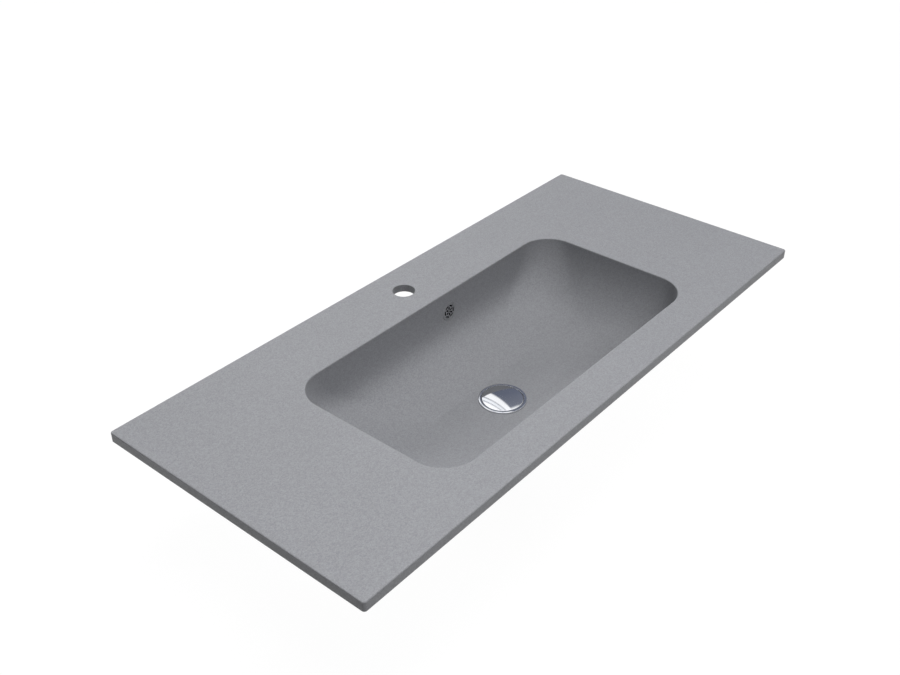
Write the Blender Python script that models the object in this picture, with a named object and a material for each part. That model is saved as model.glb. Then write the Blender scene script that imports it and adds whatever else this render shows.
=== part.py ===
"""A vanity-top washbasin, 1000 x 450 mm, cast in one piece with its bowl, with a push-to-open waste.

The top is a thin flat slab that rests on a cabinet, and the bowl hangs below it. An overflow hole in
the bowl's back wall leads into a bonded duct, which follows the bowl's back and underside down to the
waste boss. The chrome waste is clamped through the boss by a large nut. Its domed plug stands on a
keyed plunger in a spring cartridge, whose rotor turns a step at each push.

Lengths are in metres. +X is to the right of a person at the basin, +Y points to the wall, +Z is up.
The origin is on the underside of the top, at the middle of its back edge.
"""

import math

import bmesh
import bpy
import numpy as np

# Fits that every piece shares
gap = 0.0003
overrun = 0.006
merge_distance = 0.000003

# The top
slab_length = 1.000
slab_thickness = 0.015
slab_corner = 0.0045
slab_edge_round = 0.0015

# The bowl, from its rim down
bowl_length = 0.580
bowl_width = 0.280
bowl_depth = 0.114
bowl_corner = 0.050
bowl_back_ledge = 0.1103
bowl_front_ledge = 0.0597
bowl_rim_round = 0.0015
bowl_wall = 0.011
shell_fillet = 0.008
corner_growth = 0.083
floor_land = 0.036
least_straight = 0.0002

# How the bowl's ends and long walls sweep in to the floor, and how its corners open out
end_depth_power = 2.1
end_reach_power = 4.2
side_depth_power = 4.9
side_reach_power = 1.1
corner_power = 0.5

# Tap hole
tap_hole_radius = 0.0175
tap_hole_setback = 0.0558
tap_hole_chamfer = 0.0006

# Overflow
overflow_offset = 0.0435
overflow_drop = 0.0365
overflow_tilt = 0.055
overflow_hole_radius = 0.0132
bezel_radius = 0.0150
bezel_thickness = 0.0026
bezel_stand = 0.0006
bezel_round = 0.0007
sleeve_radius = 0.0116
sleeve_wall = 0.0012
sleeve_reach = 0.003
grille_radius = 0.0118
grille_thickness = 0.0012
grille_sink = 0.0004
grille_slots = 6
grille_slot_width = 0.0024
grille_slot_start = 0.0026
grille_slot_end = 0.0072
grille_arc_inner = 0.0083
grille_arc_outer = 0.0103
grille_arc_share = 0.62
grille_eye_radius = 0.0012

# Overflow duct
duct_width = 0.046
duct_depth = 0.018
duct_wall = 0.004
duct_steps = 9

# Waste boss and the void in it
waste_offset = 0.0017
boss_height = 0.044
boss_wall = 0.009
boss_taper = 0.004
throat_radius = 0.023
chamber_radius = 0.031
chamber_roof = 0.014
chamber_floor = 0.009
recess_depth = 0.0025
window_width = 0.028

# Waste body: bead, seat, tube and cross
flange_radius = 0.0365
bead_radius = 0.00215
flange_stand = 0.002
lip_clearance = 0.0007
seat_slope = 0.658
seat_foot_radius = 0.0205
body_wall = 0.002
tube_radius = 0.02095
tube_wall = 0.00205
tail_length = 0.041
port_count = 4
port_width = 0.012
port_height = 0.014
port_drop = 0.003
hub_radius = 0.015
hub_height = 0.006
spoke_width = 0.003
spoke_height = 0.005

# Seals, washer and nut of the waste
gasket_thickness = 0.0012
gasket_width = 0.0048
cone_seal_radius = 0.0295
cone_seal_height = 0.0097
cone_seal_nose = 0.0016
slip_washer_radius = 0.030
slip_washer_thickness = 0.0015
nut_across_flats = 0.052
nut_flange_radius = 0.0295
nut_flange_thickness = 0.0025
nut_height = 0.012
nut_chamfer = 0.0012

# Plug
cap_radius = 0.0315
cap_dome_height = 0.0045
cap_thickness = 0.0012
cap_rim_height = 0.0020
cap_rim_round = 0.0006
plug_seal_path = 0.027
plug_seal_radius = 0.00135
core_plate_overhang = 0.0016
core_lip = 0.001
core_lip_thickness = 0.0004
core_boss_radius = 0.008
core_boss_length = 0.0033
stem_radius = 0.004
stem_length = 0.024
stem_chamfer = 0.0005
stem_depth_in_core = 0.0095
lock_nut_across_flats = 0.013
lock_nut_height = 0.004
lock_nut_chamfer = 0.0005

# Cartridge: the plug rises by its travel, until the plunger's head meets the collar
plug_travel = 0.009
stop_clearance = 0.0006
barrel_radius = 0.011
barrel_bore = 0.0094
collar_radius = 0.014
collar_height = 0.0022
barrel_washer_thickness = 0.001
shaft_radius = 0.0062
shaft_clearance = 0.0004
shaft_stand = 0.0006
head_radius = 0.0072
head_length = 0.016
key_reach = 0.009
key_height = 0.008
key_width = 0.0036
rib_reach = 0.0077
rib_width = 0.0072
rib_count = 4
tooth_count = 8
tooth_points = 4
tooth_height = 0.0018
rotor_bore = 0.0045
rotor_height = 0.0097
lug_height = 0.0048
lug_clearance = 0.0005
spring_path = 0.0066
spring_length = 0.0107
spring_wire_radius = 0.0006
spring_turns = 5
end_cap_thickness = 0.0027
end_cap_spigot = 0.003

# How finely round forms are divided
corner_steps = 9
bowl_steps = 20
shell_steps = 10
edge_steps = 3
dome_steps = 6
bead_steps = 6
o_ring_steps = 6
large_steps = 40
medium_steps = 28
small_steps = 24
points_per_turn = 8

# Places that follow from the sizes above
deck_z = slab_thickness
slab_width = bowl_back_ledge + bowl_width + bowl_front_ledge
floor_z = deck_z - bowl_depth
bowl_centre_y = -bowl_back_ledge - bowl_width / 2
waste_y = bowl_centre_y - waste_offset
overflow_z = deck_z - overflow_drop

seat_z = floor_z - recess_depth
boss_bottom_z = floor_z - boss_height
boss_radius = chamber_radius + boss_wall
chamber_top_z = floor_z - chamber_roof
chamber_bottom_z = boss_bottom_z + chamber_floor
recess_radius = flange_radius + lip_clearance

flange_crest_z = floor_z + flange_stand
bead_path = flange_radius - bead_radius
seat_rim_radius = flange_radius - 2 * bead_radius
seat_rim_z = flange_crest_z - bead_radius
seat_foot_z = seat_rim_z - seat_slope * (seat_rim_radius - seat_foot_radius)
tube_bore = tube_radius - tube_wall
seat_fall = math.hypot(1, seat_slope)
dish_drop = body_wall * seat_fall
gasket_bottom_z = seat_z + gap
lip_under_z = gasket_bottom_z + gasket_thickness + gap
gasket_outer = flange_radius - lip_clearance
gasket_inner = gasket_outer - gasket_width
dish_radius = gasket_inner - gap
dish_z = seat_rim_z - seat_slope * (seat_rim_radius - dish_radius) - dish_drop
dish_top_radius = gasket_inner + lip_clearance - 2 * gap
boss_top_z = floor_z - bowl_wall / 2
tail_end_z = boss_bottom_z - tail_length

cap_rim_top_z = flange_crest_z
cap_rim_bottom_z = cap_rim_top_z - cap_rim_height
seal_seat_z = seat_rim_z - seat_slope * (seat_rim_radius - plug_seal_path)
plug_seal_z = seal_seat_z + (plug_seal_radius + gap) * seat_fall
plate_bottom_z = plug_seal_z + plug_seal_radius + gap
core_lip_top_z = plug_seal_z - plug_seal_radius - gap
core_bottom_z = core_lip_top_z - core_lip_thickness
core_hub_radius = plug_seal_path - plug_seal_radius - gap
core_boss_z = core_bottom_z - core_boss_length
lock_nut_top_z = core_boss_z - gap
stem_top_z = core_boss_z + stem_depth_in_core
stem_bottom_z = stem_top_z - stem_length
stem_bore = stem_radius + gap

shaft_top_z = lock_nut_top_z - lock_nut_height - gap
collar_top_z = shaft_top_z - shaft_stand
collar_bottom_z = collar_top_z - collar_height
washer_top_z = collar_bottom_z - gap
hub_top_z = washer_top_z - barrel_washer_thickness - gap
head_top_z = collar_bottom_z - plug_travel - stop_clearance
tooth_tip_z = head_top_z - head_length
rotor_tip_z = tooth_tip_z - gap
rotor_bottom_z = rotor_tip_z - rotor_height
rib_bottom_z = rotor_tip_z - tooth_height / 2
lug_top_z = rib_bottom_z - lug_clearance
spring_top_z = rotor_bottom_z - gap
spring_bottom_z = spring_top_z - spring_length
spigot_top_z = spring_bottom_z - gap
spigot_radius = barrel_bore - gap
end_cap_top_z = spigot_top_z - end_cap_spigot
barrel_bottom_z = end_cap_top_z + gap

cone_seal_top_z = boss_bottom_z - gap
cone_seal_bottom_z = cone_seal_top_z - cone_seal_height
slip_washer_top_z = cone_seal_bottom_z - gap
nut_top_z = slip_washer_top_z - slip_washer_thickness - gap
nut_bottom_z = nut_top_z - nut_height
tube_fit_radius = tube_radius + gap

wall_front_y = -bowl_back_ledge
counterbore_depth = bezel_thickness - bezel_stand + gap
sleeve_end = bowl_wall + sleeve_reach
pocket_radius = grille_radius + gap
pocket_depth = grille_sink + grille_thickness + gap


def clear_scene():
    for item in list(bpy.data.objects):
        bpy.data.objects.remove(item, do_unlink=True)


def make_finish(name, colour, roughness, metallic):
    """A plain surface: base colour, roughness and metallic value."""
    finish = bpy.data.materials.new(name)
    finish.use_nodes = True
    shader = finish.node_tree.nodes["Principled BSDF"]
    shader.inputs["Base Color"].default_value = (*colour, 1)
    shader.inputs["Roughness"].default_value = roughness
    shader.inputs["Metallic"].default_value = metallic
    return finish


def place_axis(name, x, y, z):
    axis = bpy.data.objects.new(name, None)
    bpy.context.collection.objects.link(axis)
    axis.location = (x, y, z)
    return axis


def add_object(name, data, finish, parent):
    piece = bpy.data.objects.new(name, data)
    bpy.context.collection.objects.link(piece)
    piece.parent = parent
    if finish is not None:
        data.materials.append(finish)
    return piece


def add_solid(name, vertices, faces, finish=None, parent=None):
    """A closed mesh with its faces turned outwards and its round stretches shaded smooth."""
    mesh = bpy.data.meshes.new(name)
    mesh.from_pydata([tuple(point) for point in vertices], [], faces)
    shell = bmesh.new()
    shell.from_mesh(mesh)
    bmesh.ops.recalc_face_normals(shell, faces=shell.faces)
    shell.to_mesh(mesh)
    shell.free()
    mesh.shade_smooth()
    mesh.set_sharp_from_angle(angle=math.radians(30))
    return add_object(name, mesh, finish, parent)


def add_boolean(piece, tool, operation):
    step = piece.modifiers.new(tool.name, "BOOLEAN")
    step.operation = operation
    step.solver = "EXACT"
    step.object = tool


def as_tool(tool):
    """Marks an object as a cutter or an inner form that isn't a piece of the basin."""
    tool.hide_render = True
    tool.display_type = "WIRE"
    return tool


def cut(piece, tool):
    add_boolean(piece, as_tool(tool), "DIFFERENCE")


def keep_inside(piece, tool):
    add_boolean(piece, as_tool(tool), "INTERSECT")


def join(piece, tool):
    add_boolean(piece, as_tool(tool), "UNION")


def arc_points(centre_r, centre_z, radius, start, end, steps):
    """Points of an arc in a turned profile, with its angles in degrees."""
    angles = np.radians(np.linspace(start, end, steps + 1))
    return [(centre_r + radius * math.cos(a), centre_z + radius * math.sin(a)) for a in angles]


def add_turned(name, profile, steps, finish=None, parent=None):
    """Turns a closed (radius, height) profile round the local Z axis."""
    lathe = bmesh.new()
    points = [lathe.verts.new((radius, 0, height)) for radius, height in profile]
    edges = [lathe.edges.new(pair) for pair in zip(points, points[1:])]
    if profile[0][0] > 0:
        edges.append(lathe.edges.new((points[-1], points[0])))
    bmesh.ops.spin(
        lathe, geom=points + edges, cent=(0, 0, 0), axis=(0, 0, 1), dvec=(0, 0, 0),
        angle=2 * math.pi, steps=steps, use_merge=True, use_duplicate=False,
    )
    bmesh.ops.remove_doubles(lathe, verts=lathe.verts, dist=merge_distance)
    bmesh.ops.recalc_face_normals(lathe, faces=lathe.faces)
    mesh = bpy.data.meshes.new(name)
    lathe.to_mesh(mesh)
    lathe.free()
    mesh.shade_smooth()
    mesh.set_sharp_from_angle(angle=math.radians(30))
    return add_object(name, mesh, finish, parent)


def add_ring(name, inner, outer, bottom, top, steps, finish=None, parent=None):
    profile = [(inner, bottom), (outer, bottom), (outer, top), (inner, top)]
    return add_turned(name, profile, steps, finish, parent)


def add_disc(name, radius, bottom, top, steps, parent=None):
    return add_turned(name, [(0, bottom), (radius, bottom), (radius, top), (0, top)], steps, None, parent)


def add_o_ring(name, path, radius, height, steps, finish, parent):
    profile = arc_points(path, height, radius, 0, 360, o_ring_steps)[:-1]
    return add_turned(name, profile, steps, finish, parent)


def add_prism(name, outline, bottom, top, finish=None, parent=None):
    """Extrudes one or more (x, y) outlines of a list upwards, as separate bodies of one mesh."""
    vertices, faces = [], []
    for points in outline:
        start, count = len(vertices), len(points)
        vertices += [(x, y, bottom) for x, y in points] + [(x, y, top) for x, y in points]
        faces.append(list(range(start, start + count)))
        faces.append(list(range(start + count, start + 2 * count)))
        for k in range(count):
            after = (k + 1) % count
            faces.append((start + k, start + after, start + count + after, start + count + k))
    return add_solid(name, vertices, faces, finish, parent)


def radial_outline(angle, inner, outer, width):
    """A rectangle that lies along a ray from the axis."""
    ray = np.array([math.cos(angle), math.sin(angle)])
    side = np.array([-ray[1], ray[0]]) * width / 2
    return [ray * inner - side, ray * outer - side, ray * outer + side, ray * inner + side]


def add_radial_bars(name, count, turn_share, inner, outer, width, bottom, top, parent):
    """Equal bars round the axis. turn_share moves them on by that share of one spacing."""
    spacing = 2 * math.pi / count
    angles = [spacing * (k + turn_share) for k in range(count)]
    outlines = [radial_outline(angle, inner, outer, width) for angle in angles]
    return add_prism(name, outlines, bottom, top, None, parent)


def add_hex(name, across_flats, bottom, top, chamfer, steps, finish, parent):
    """A hexagon whose corners are turned down at both ends, as on a nut."""
    corner = across_flats / math.sqrt(3)
    outline = [(corner * math.cos(k * math.pi / 3), corner * math.sin(k * math.pi / 3)) for k in range(6)]
    hexagon = add_prism(name, [outline], bottom, top, finish, parent)
    turned = [
        (0, bottom), (corner - chamfer, bottom), (corner, bottom + chamfer / 2),
        (corner, top - chamfer / 2), (corner - chamfer, top), (0, top),
    ]
    keep_inside(hexagon, add_turned(name + "_corners", turned, steps, None, parent))
    return hexagon


# The bowl's form

def bowl_section(depth_share):
    """Half length, half width, corner radius and height of the bowl at a share of its depth.

    Each half size draws in by reach * (1 - (1 - share^p)^(1/q)), which is upright at the rim and
    level at the floor. The corners grow from bowl_corner, and never past the ring's half width.
    """
    end_share = 1 - (1 - depth_share ** end_depth_power) ** (1 / end_reach_power)
    side_share = 1 - (1 - depth_share ** side_depth_power) ** (1 / side_reach_power)
    half_x = bowl_length / 2 - (bowl_length / 2 - floor_land) * end_share
    half_y = bowl_width / 2 - (bowl_width / 2 - floor_land) * side_share
    radius = bowl_corner + corner_growth * (1 - (1 - depth_share) ** corner_power)
    radius = np.minimum(radius, np.minimum(half_x, half_y) - least_straight)
    return half_x, half_y, radius, deck_z - bowl_depth * depth_share


def corner_rays():
    """The plan direction of each point of a ring, and the corner that it belongs to."""
    quarter = np.linspace(0, math.pi / 2, corner_steps + 1)
    angles = np.concatenate([quarter + k * math.pi / 2 for k in range(4)])
    corner_x = np.repeat([1, -1, -1, 1], corner_steps + 1)
    corner_y = np.repeat([1, 1, -1, -1], corner_steps + 1)
    return np.cos(angles), np.sin(angles), corner_x, corner_y


def rounded_ring(half_x, half_y, radius, height, centre_y):
    """One level ring: a rectangle with round corners, counter-clockwise seen from above."""
    ray_x, ray_y, corner_x, corner_y = corner_rays()
    x = corner_x * (half_x - radius) + radius * ray_x
    y = corner_y * (half_y - radius) + radius * ray_y + centre_y
    return np.stack([x, y, np.full_like(x, height)], axis=-1)


def bowl_rings(first_share, steps, offset):
    """Rings of the bowl from a share of its depth to the floor, moved outwards by an offset.

    The offset follows the surface's own normal, worked out from how fast each ring draws in and
    falls, so that a wall has one thickness all over.
    """
    turn = np.linspace(0, math.pi / 2, steps + 1)
    share = np.minimum(first_share + (1 - first_share) * np.sin(turn), 1)
    half_x, half_y, radius, height = bowl_section(share)
    ray_x, ray_y, corner_x, corner_y = corner_rays()
    straight_x = (half_x - radius)[:, None] * corner_x
    straight_y = (half_y - radius)[:, None] * corner_y
    fall = np.gradient(height, turn)[:, None]
    draw = (
        np.gradient(straight_x, turn, axis=0) * ray_x
        + np.gradient(straight_y, turn, axis=0) * ray_y
        + np.gradient(radius, turn)[:, None]
    )
    length = np.hypot(fall, draw)
    outward = radius[:, None] - offset * fall / length
    x = straight_x + outward * ray_x
    y = straight_y + outward * ray_y + bowl_centre_y
    z = height[:, None] + offset * draw / length
    return np.stack([x, y, z], axis=-1)


def edge_rings(half_x, half_y, radius, height, centre_y, spread, drop, start, end):
    """Rings of a rounded edge: each moves out by spread * cos and up by drop * sin of its angle."""
    rings = []
    for angle in np.radians(np.linspace(start, end, edge_steps + 1)):
        out = spread * math.cos(angle)
        level = height + drop * math.sin(angle)
        rings.append(rounded_ring(half_x + out, half_y + out, radius + out, level, centre_y))
    return rings


def shell_rings(offset):
    """The outside of the bowl under the top, at an offset from its inside: a fillet, then the wall."""
    first_share = (slab_thickness + shell_fillet) / bowl_depth
    half_x, half_y, radius, height = bowl_section(np.array(first_share))
    out = offset + shell_fillet
    flare = edge_rings(
        half_x + out, half_y + out, radius + out, -shell_fillet, bowl_centre_y,
        -shell_fillet, shell_fillet, 90, 0,
    )
    return flare[:-1] + list(bowl_rings(first_share, shell_steps, offset))


def add_loft(name, rings, finish=None, parent=None):
    """A closed skin over a row of rings, with a fan of faces over each end."""
    rings = np.array(rings)
    count, around = rings.shape[:2]
    vertices = list(rings.reshape(-1, 3)) + [rings[0].mean(axis=0), rings[-1].mean(axis=0)]
    start_centre, end_centre = len(vertices) - 2, len(vertices) - 1
    faces = []
    for level in range(count - 1):
        for k in range(around):
            after = (k + 1) % around
            low, high = level * around, (level + 1) * around
            faces.append((low + k, low + after, high + after, high + k))
    for k in range(around):
        after = (k + 1) % around
        last = (count - 1) * around
        faces.append((start_centre, after, k))
        faces.append((end_centre, last + k, last + after))
    return add_solid(name, vertices, faces, finish, parent)


def add_shell_form(name, rings):
    """The bowl's outside as a filled form with a lid above it, used to fit the duct to the casting."""
    lid = np.array(rings[0]) + np.array([0, 0, overrun])
    return add_loft(name, [lid] + list(rings))


# The casting

def add_slab_and_bowl(finish):
    """One skin: up the inside of the bowl, over the rim and the top, and down the outside."""
    inner = list(bowl_rings(bowl_rim_round / bowl_depth, bowl_steps, 0))[::-1]
    half_x, half_y, radius, height = bowl_section(np.array(bowl_rim_round / bowl_depth))
    rim_x, rim_y, rim_radius = half_x + bowl_rim_round, half_y + bowl_rim_round, radius + bowl_rim_round
    rim = edge_rings(
        rim_x, rim_y, rim_radius, height, bowl_centre_y, -bowl_rim_round, bowl_rim_round, 0, 90
    )
    flat_x = slab_length / 2 - slab_edge_round
    flat_y = slab_width / 2 - slab_edge_round
    flat_radius = slab_corner - slab_edge_round
    top_edge = edge_rings(
        flat_x, flat_y, flat_radius, deck_z - slab_edge_round, -slab_width / 2,
        slab_edge_round, slab_edge_round, 90, 0,
    )
    bottom_edge = edge_rings(
        flat_x, flat_y, flat_radius, slab_edge_round, -slab_width / 2,
        slab_edge_round, slab_edge_round, 0, -90,
    )
    rings = inner + rim[1:] + top_edge + bottom_edge + shell_rings(bowl_wall)
    return add_loft("basin_casting", rings, finish)


def boss_reach(height):
    """Radius of the boss at a height: it tapers in towards its lower end."""
    return boss_radius + boss_taper * (height - boss_bottom_z) / (boss_top_z - boss_bottom_z)


def add_boss_form(name, growth, bottom_z, top_z, parent):
    """The boss round the waste. Growth widens it, for what has to clear it.

    It is turned by half a step, so that its flats lie across the corners of the hole in it.
    """
    low, high = boss_reach(bottom_z) + growth, boss_reach(top_z) + growth
    profile = [(0, bottom_z), (low, bottom_z), (high, top_z), (0, top_z)]
    boss = add_turned(name, profile, large_steps, None, parent)
    boss.rotation_euler.z = math.pi / large_steps
    return boss


def add_waste_void(parent):
    """The hollow for the waste: recess, dish, throat and the chamber that the overflow runs into."""
    dish_top_z = dish_z - lip_clearance
    dish_foot_z = dish_top_z - seat_slope * (dish_top_radius - throat_radius)
    profile = [
        (0, floor_z + overrun), (recess_radius, floor_z + overrun), (recess_radius, seat_z),
        (dish_top_radius, seat_z), (dish_top_radius, dish_top_z), (throat_radius, dish_foot_z),
        (throat_radius, chamber_top_z), (chamber_radius, chamber_top_z),
        (chamber_radius, chamber_bottom_z), (throat_radius, chamber_bottom_z),
        (throat_radius, boss_bottom_z - overrun), (0, boss_bottom_z - overrun),
    ]
    return add_turned("waste_void", profile, large_steps, None, parent)


def add_duct_window(parent):
    """The way through the boss, from the duct into the chamber."""
    half = window_width / 2
    near, far = chamber_radius - boss_wall / 2, boss_radius + boss_taper + overrun
    outline = [(-half, near), (half, near), (half, far), (-half, far)]
    bottom = floor_z - bowl_wall - gap - duct_depth + duct_wall
    return add_prism("duct_window", [outline], bottom, chamber_top_z - gap, None, parent)


def add_tap_cutter():
    profile = [
        (0, -overrun), (tap_hole_radius, -overrun), (tap_hole_radius, deck_z - tap_hole_chamfer),
        (tap_hole_radius + tap_hole_chamfer, deck_z),
        (tap_hole_radius + tap_hole_chamfer, deck_z + overrun), (0, deck_z + overrun),
    ]
    cutter = add_turned("tap_hole", profile, large_steps)
    cutter.location = (0, -tap_hole_setback, 0)
    return cutter


def add_overflow_cutter(parent):
    """The stepped hole for the bezel: a shallow counterbore, then the hole through the wall."""
    back = bowl_wall + overrun
    counter_radius = bezel_radius + gap
    profile = [
        (0, -overrun), (counter_radius, -overrun), (counter_radius, counterbore_depth),
        (overflow_hole_radius, counterbore_depth), (overflow_hole_radius, back), (0, back),
    ]
    return add_turned("overflow_hole", profile, medium_steps, None, parent)


def make_casting(finish, waste_axis, overflow_axis):
    casting = add_slab_and_bowl(finish)
    join(casting, add_boss_form("waste_boss", 0, boss_bottom_z, boss_top_z, waste_axis))
    cut(casting, add_waste_void(waste_axis))
    cut(casting, add_duct_window(waste_axis))
    cut(casting, add_tap_cutter())
    cut(casting, add_overflow_cutter(overflow_axis))


# The overflow

def place_overflow_axis():
    """The overflow's own axis: it starts on the bowl's back wall and runs squarely into it."""
    half_width = bowl_section(np.array(overflow_drop / bowl_depth))[1]
    axis = place_axis("overflow_axis", overflow_offset, bowl_centre_y + half_width, overflow_z)
    axis.rotation_euler = (-math.pi / 2 - overflow_tilt, 0, 0)
    return axis


def duct_outline(half_width, end_y, back_y):
    """The duct's plan: a strip that swings over from the overflow hole to the waste."""
    share = np.linspace(0, 1, duct_steps + 1)
    y = waste_y + (wall_front_y - waste_y) * share
    swing = overflow_offset * (3 * share ** 2 - 2 * share ** 3)
    y = np.concatenate([[end_y], y[1:], [back_y]])
    swing = np.concatenate([swing[:1], swing[1:], swing[-1:]])
    right = list(zip(swing + half_width, y))
    left = list(zip(swing - half_width, y))
    return right + left[::-1]


def make_overflow_duct(finish, waste_axis):
    """A channel of even depth, made as a strip of the bowl's outside grown by the duct's depth."""
    outer_offset = bowl_wall + gap + duct_depth
    back_y = wall_front_y + outer_offset + overrun
    low_z = boss_bottom_z - overrun
    outer_plan = duct_outline(duct_width / 2, waste_y, back_y)
    duct = add_prism("overflow_duct", [outer_plan], low_z, -gap, finish)
    first_share = slab_thickness / bowl_depth
    keep_inside(duct, add_shell_form("duct_outside", bowl_rings(first_share, shell_steps, outer_offset)))

    inner_plan = duct_outline(duct_width / 2 - duct_wall, waste_y - overrun, back_y)
    channel = add_prism("duct_channel", [inner_plan], low_z - overrun, -gap - duct_wall)
    inner_offset = outer_offset - duct_wall
    keep_inside(channel, add_shell_form("duct_inside", bowl_rings(first_share, shell_steps, inner_offset)))
    cut(duct, channel)
    cut(duct, add_shell_form("bowl_outside", shell_rings(bowl_wall + gap)))
    cut(duct, add_boss_form("boss_outside", gap, low_z - overrun, floor_z, waste_axis))


def make_overflow_bezel(finish, axis):
    """A ring with a pocket for the grille in its face, and a sleeve through the wall."""
    bore = sleeve_radius - sleeve_wall
    face, back = -bezel_stand, bezel_thickness - bezel_stand
    profile = [
        (bore, face + pocket_depth), (pocket_radius, face + pocket_depth), (pocket_radius, face),
        (bezel_radius - bezel_round, face), (bezel_radius, face + bezel_round), (bezel_radius, back),
        (sleeve_radius, back), (sleeve_radius, sleeve_end), (bore, sleeve_end),
    ]
    add_turned("overflow_bezel", profile, medium_steps, finish, axis)


def slot_outline(angle):
    """A radial slot with round ends."""
    half = grille_slot_width / 2
    start, end = grille_slot_start + half, grille_slot_end - half
    ends = [(end, a) for a in (-90, -30, 30, 90)] + [(start, a) for a in (90, 150, 210, 270)]
    outline = []
    for reach, turn in ends:
        along = reach + half * math.cos(math.radians(turn))
        across = half * math.sin(math.radians(turn))
        outline.append((
            along * math.cos(angle) - across * math.sin(angle),
            along * math.sin(angle) + across * math.cos(angle),
        ))
    return outline


def arc_slot_outline(angle):
    """A slot bent round the eye, over its share of the spacing between the radial slots."""
    half = math.pi / grille_slots * grille_arc_share
    turns = np.linspace(angle - half, angle + half, edge_steps + 1)
    outer = [(grille_arc_outer * math.cos(a), grille_arc_outer * math.sin(a)) for a in turns]
    inner = [(grille_arc_inner * math.cos(a), grille_arc_inner * math.sin(a)) for a in turns[::-1]]
    return outer + inner


def make_overflow_grille(finish, axis):
    """A disc with a rosette round a small eye: radial slots, and a ring of bent slots outside them."""
    face = grille_sink - bezel_stand
    back = face + grille_thickness
    grille = add_ring(
        "overflow_grille", grille_eye_radius, grille_radius, face, back, medium_steps, finish, axis
    )
    spacing = 2 * math.pi / grille_slots
    slots = [slot_outline(spacing * (k + 0.5)) for k in range(grille_slots)]
    slots += [arc_slot_outline(spacing * k) for k in range(grille_slots)]
    cut(grille, add_prism("grille_slots", slots, face - overrun, back + overrun, None, axis))


def make_overflow_seal(finish, axis):
    path = (sleeve_radius + overflow_hole_radius) / 2
    radius = (overflow_hole_radius - sleeve_radius) / 2 - gap
    middle = (counterbore_depth + bowl_wall) / 2
    add_o_ring("overflow_seal", path, radius, middle, small_steps, finish, axis)


# The waste

def make_waste_body(finish, axis):
    """Flange, dish and threaded tube turned in one, with overflow ports and a cross for the cartridge."""
    bead = arc_points(bead_path, seat_rim_z, bead_radius, 0, 180, bead_steps)
    foot_z = seat_foot_z - (seat_foot_radius - tube_bore)
    tube_top_z = dish_z - seat_slope * (dish_radius - tube_radius)
    profile = [(tube_radius, tail_end_z), (tube_radius, tube_top_z), (dish_radius, dish_z)]
    profile += [(dish_radius, lip_under_z), (flange_radius, lip_under_z)] + bead
    profile += [(seat_foot_radius, seat_foot_z), (tube_bore, foot_z), (tube_bore, tail_end_z)]
    body = add_turned("waste_body", profile, large_steps, finish, axis)

    port_top_z = chamber_top_z - port_drop
    ports = add_radial_bars(
        "waste_ports", port_count, 0, hub_radius + gap, chamber_radius, port_width,
        port_top_z - port_height, port_top_z, axis,
    )
    cut(body, ports)

    spoke_end = tube_bore + tube_wall / 2
    cross = add_radial_bars(
        "waste_spokes", port_count, 0.5, barrel_radius, spoke_end, spoke_width,
        hub_top_z - spoke_height, hub_top_z, axis,
    )
    hub_bottom_z = hub_top_z - hub_height
    hub = add_disc("waste_hub", hub_radius, hub_bottom_z, hub_top_z, small_steps, axis)
    join(hub, cross)
    bore = add_disc(
        "hub_bore", barrel_radius + gap, hub_bottom_z - overrun, hub_top_z + overrun, small_steps, axis
    )
    cut(hub, bore)
    join(body, hub)


def make_flange_gasket(finish, axis):
    top_z = gasket_bottom_z + gasket_thickness
    add_ring("flange_gasket", gasket_inner, gasket_outer, gasket_bottom_z, top_z, large_steps, finish, axis)


def make_cone_seal(finish, axis):
    """Tapered rubber ring: its nose centres in the throat and its shoulder closes on the boss."""
    nose_foot = throat_radius - gap
    nose_tip = (nose_foot + tube_fit_radius) / 2
    profile = [
        (tube_fit_radius, cone_seal_bottom_z), (cone_seal_radius, cone_seal_bottom_z),
        (cone_seal_radius, cone_seal_bottom_z + cone_seal_height / 2),
        (cone_seal_radius - cone_seal_height / 4, cone_seal_top_z), (nose_foot, cone_seal_top_z),
        (nose_tip, cone_seal_top_z + cone_seal_nose), (tube_fit_radius, cone_seal_top_z + cone_seal_nose),
    ]
    add_turned("cone_seal", profile, medium_steps, finish, axis)


def make_slip_washer(finish, axis):
    bottom_z = slip_washer_top_z - slip_washer_thickness
    add_ring(
        "slip_washer", tube_fit_radius, slip_washer_radius, bottom_z, slip_washer_top_z,
        medium_steps, finish, axis,
    )


def make_back_nut(finish, axis):
    """A large hexagon nut with a round flange on top."""
    flange_z = nut_top_z - nut_flange_thickness
    hex_top_z = (flange_z + nut_top_z) / 2
    nut = add_hex(
        "back_nut", nut_across_flats, nut_bottom_z, hex_top_z, nut_chamfer, medium_steps, finish, axis
    )
    join(nut, add_disc("nut_flange", nut_flange_radius, flange_z, nut_top_z, medium_steps, axis))
    bore = add_disc(
        "nut_bore", tube_fit_radius, nut_bottom_z - overrun, nut_top_z + overrun, medium_steps, axis
    )
    cut(nut, bore)


# The plug

def dome_height(radius):
    """Height of the cap's outside above its rim, on a shallow parabola."""
    return cap_dome_height * (1 - (radius / (cap_radius - cap_rim_round)) ** 2)


def dome_points(rim_radius, drop, steps):
    radii = np.linspace(rim_radius, 0, steps + 1)
    return [(radius, cap_rim_top_z + dome_height(radius) - drop) for radius in radii]


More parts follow.
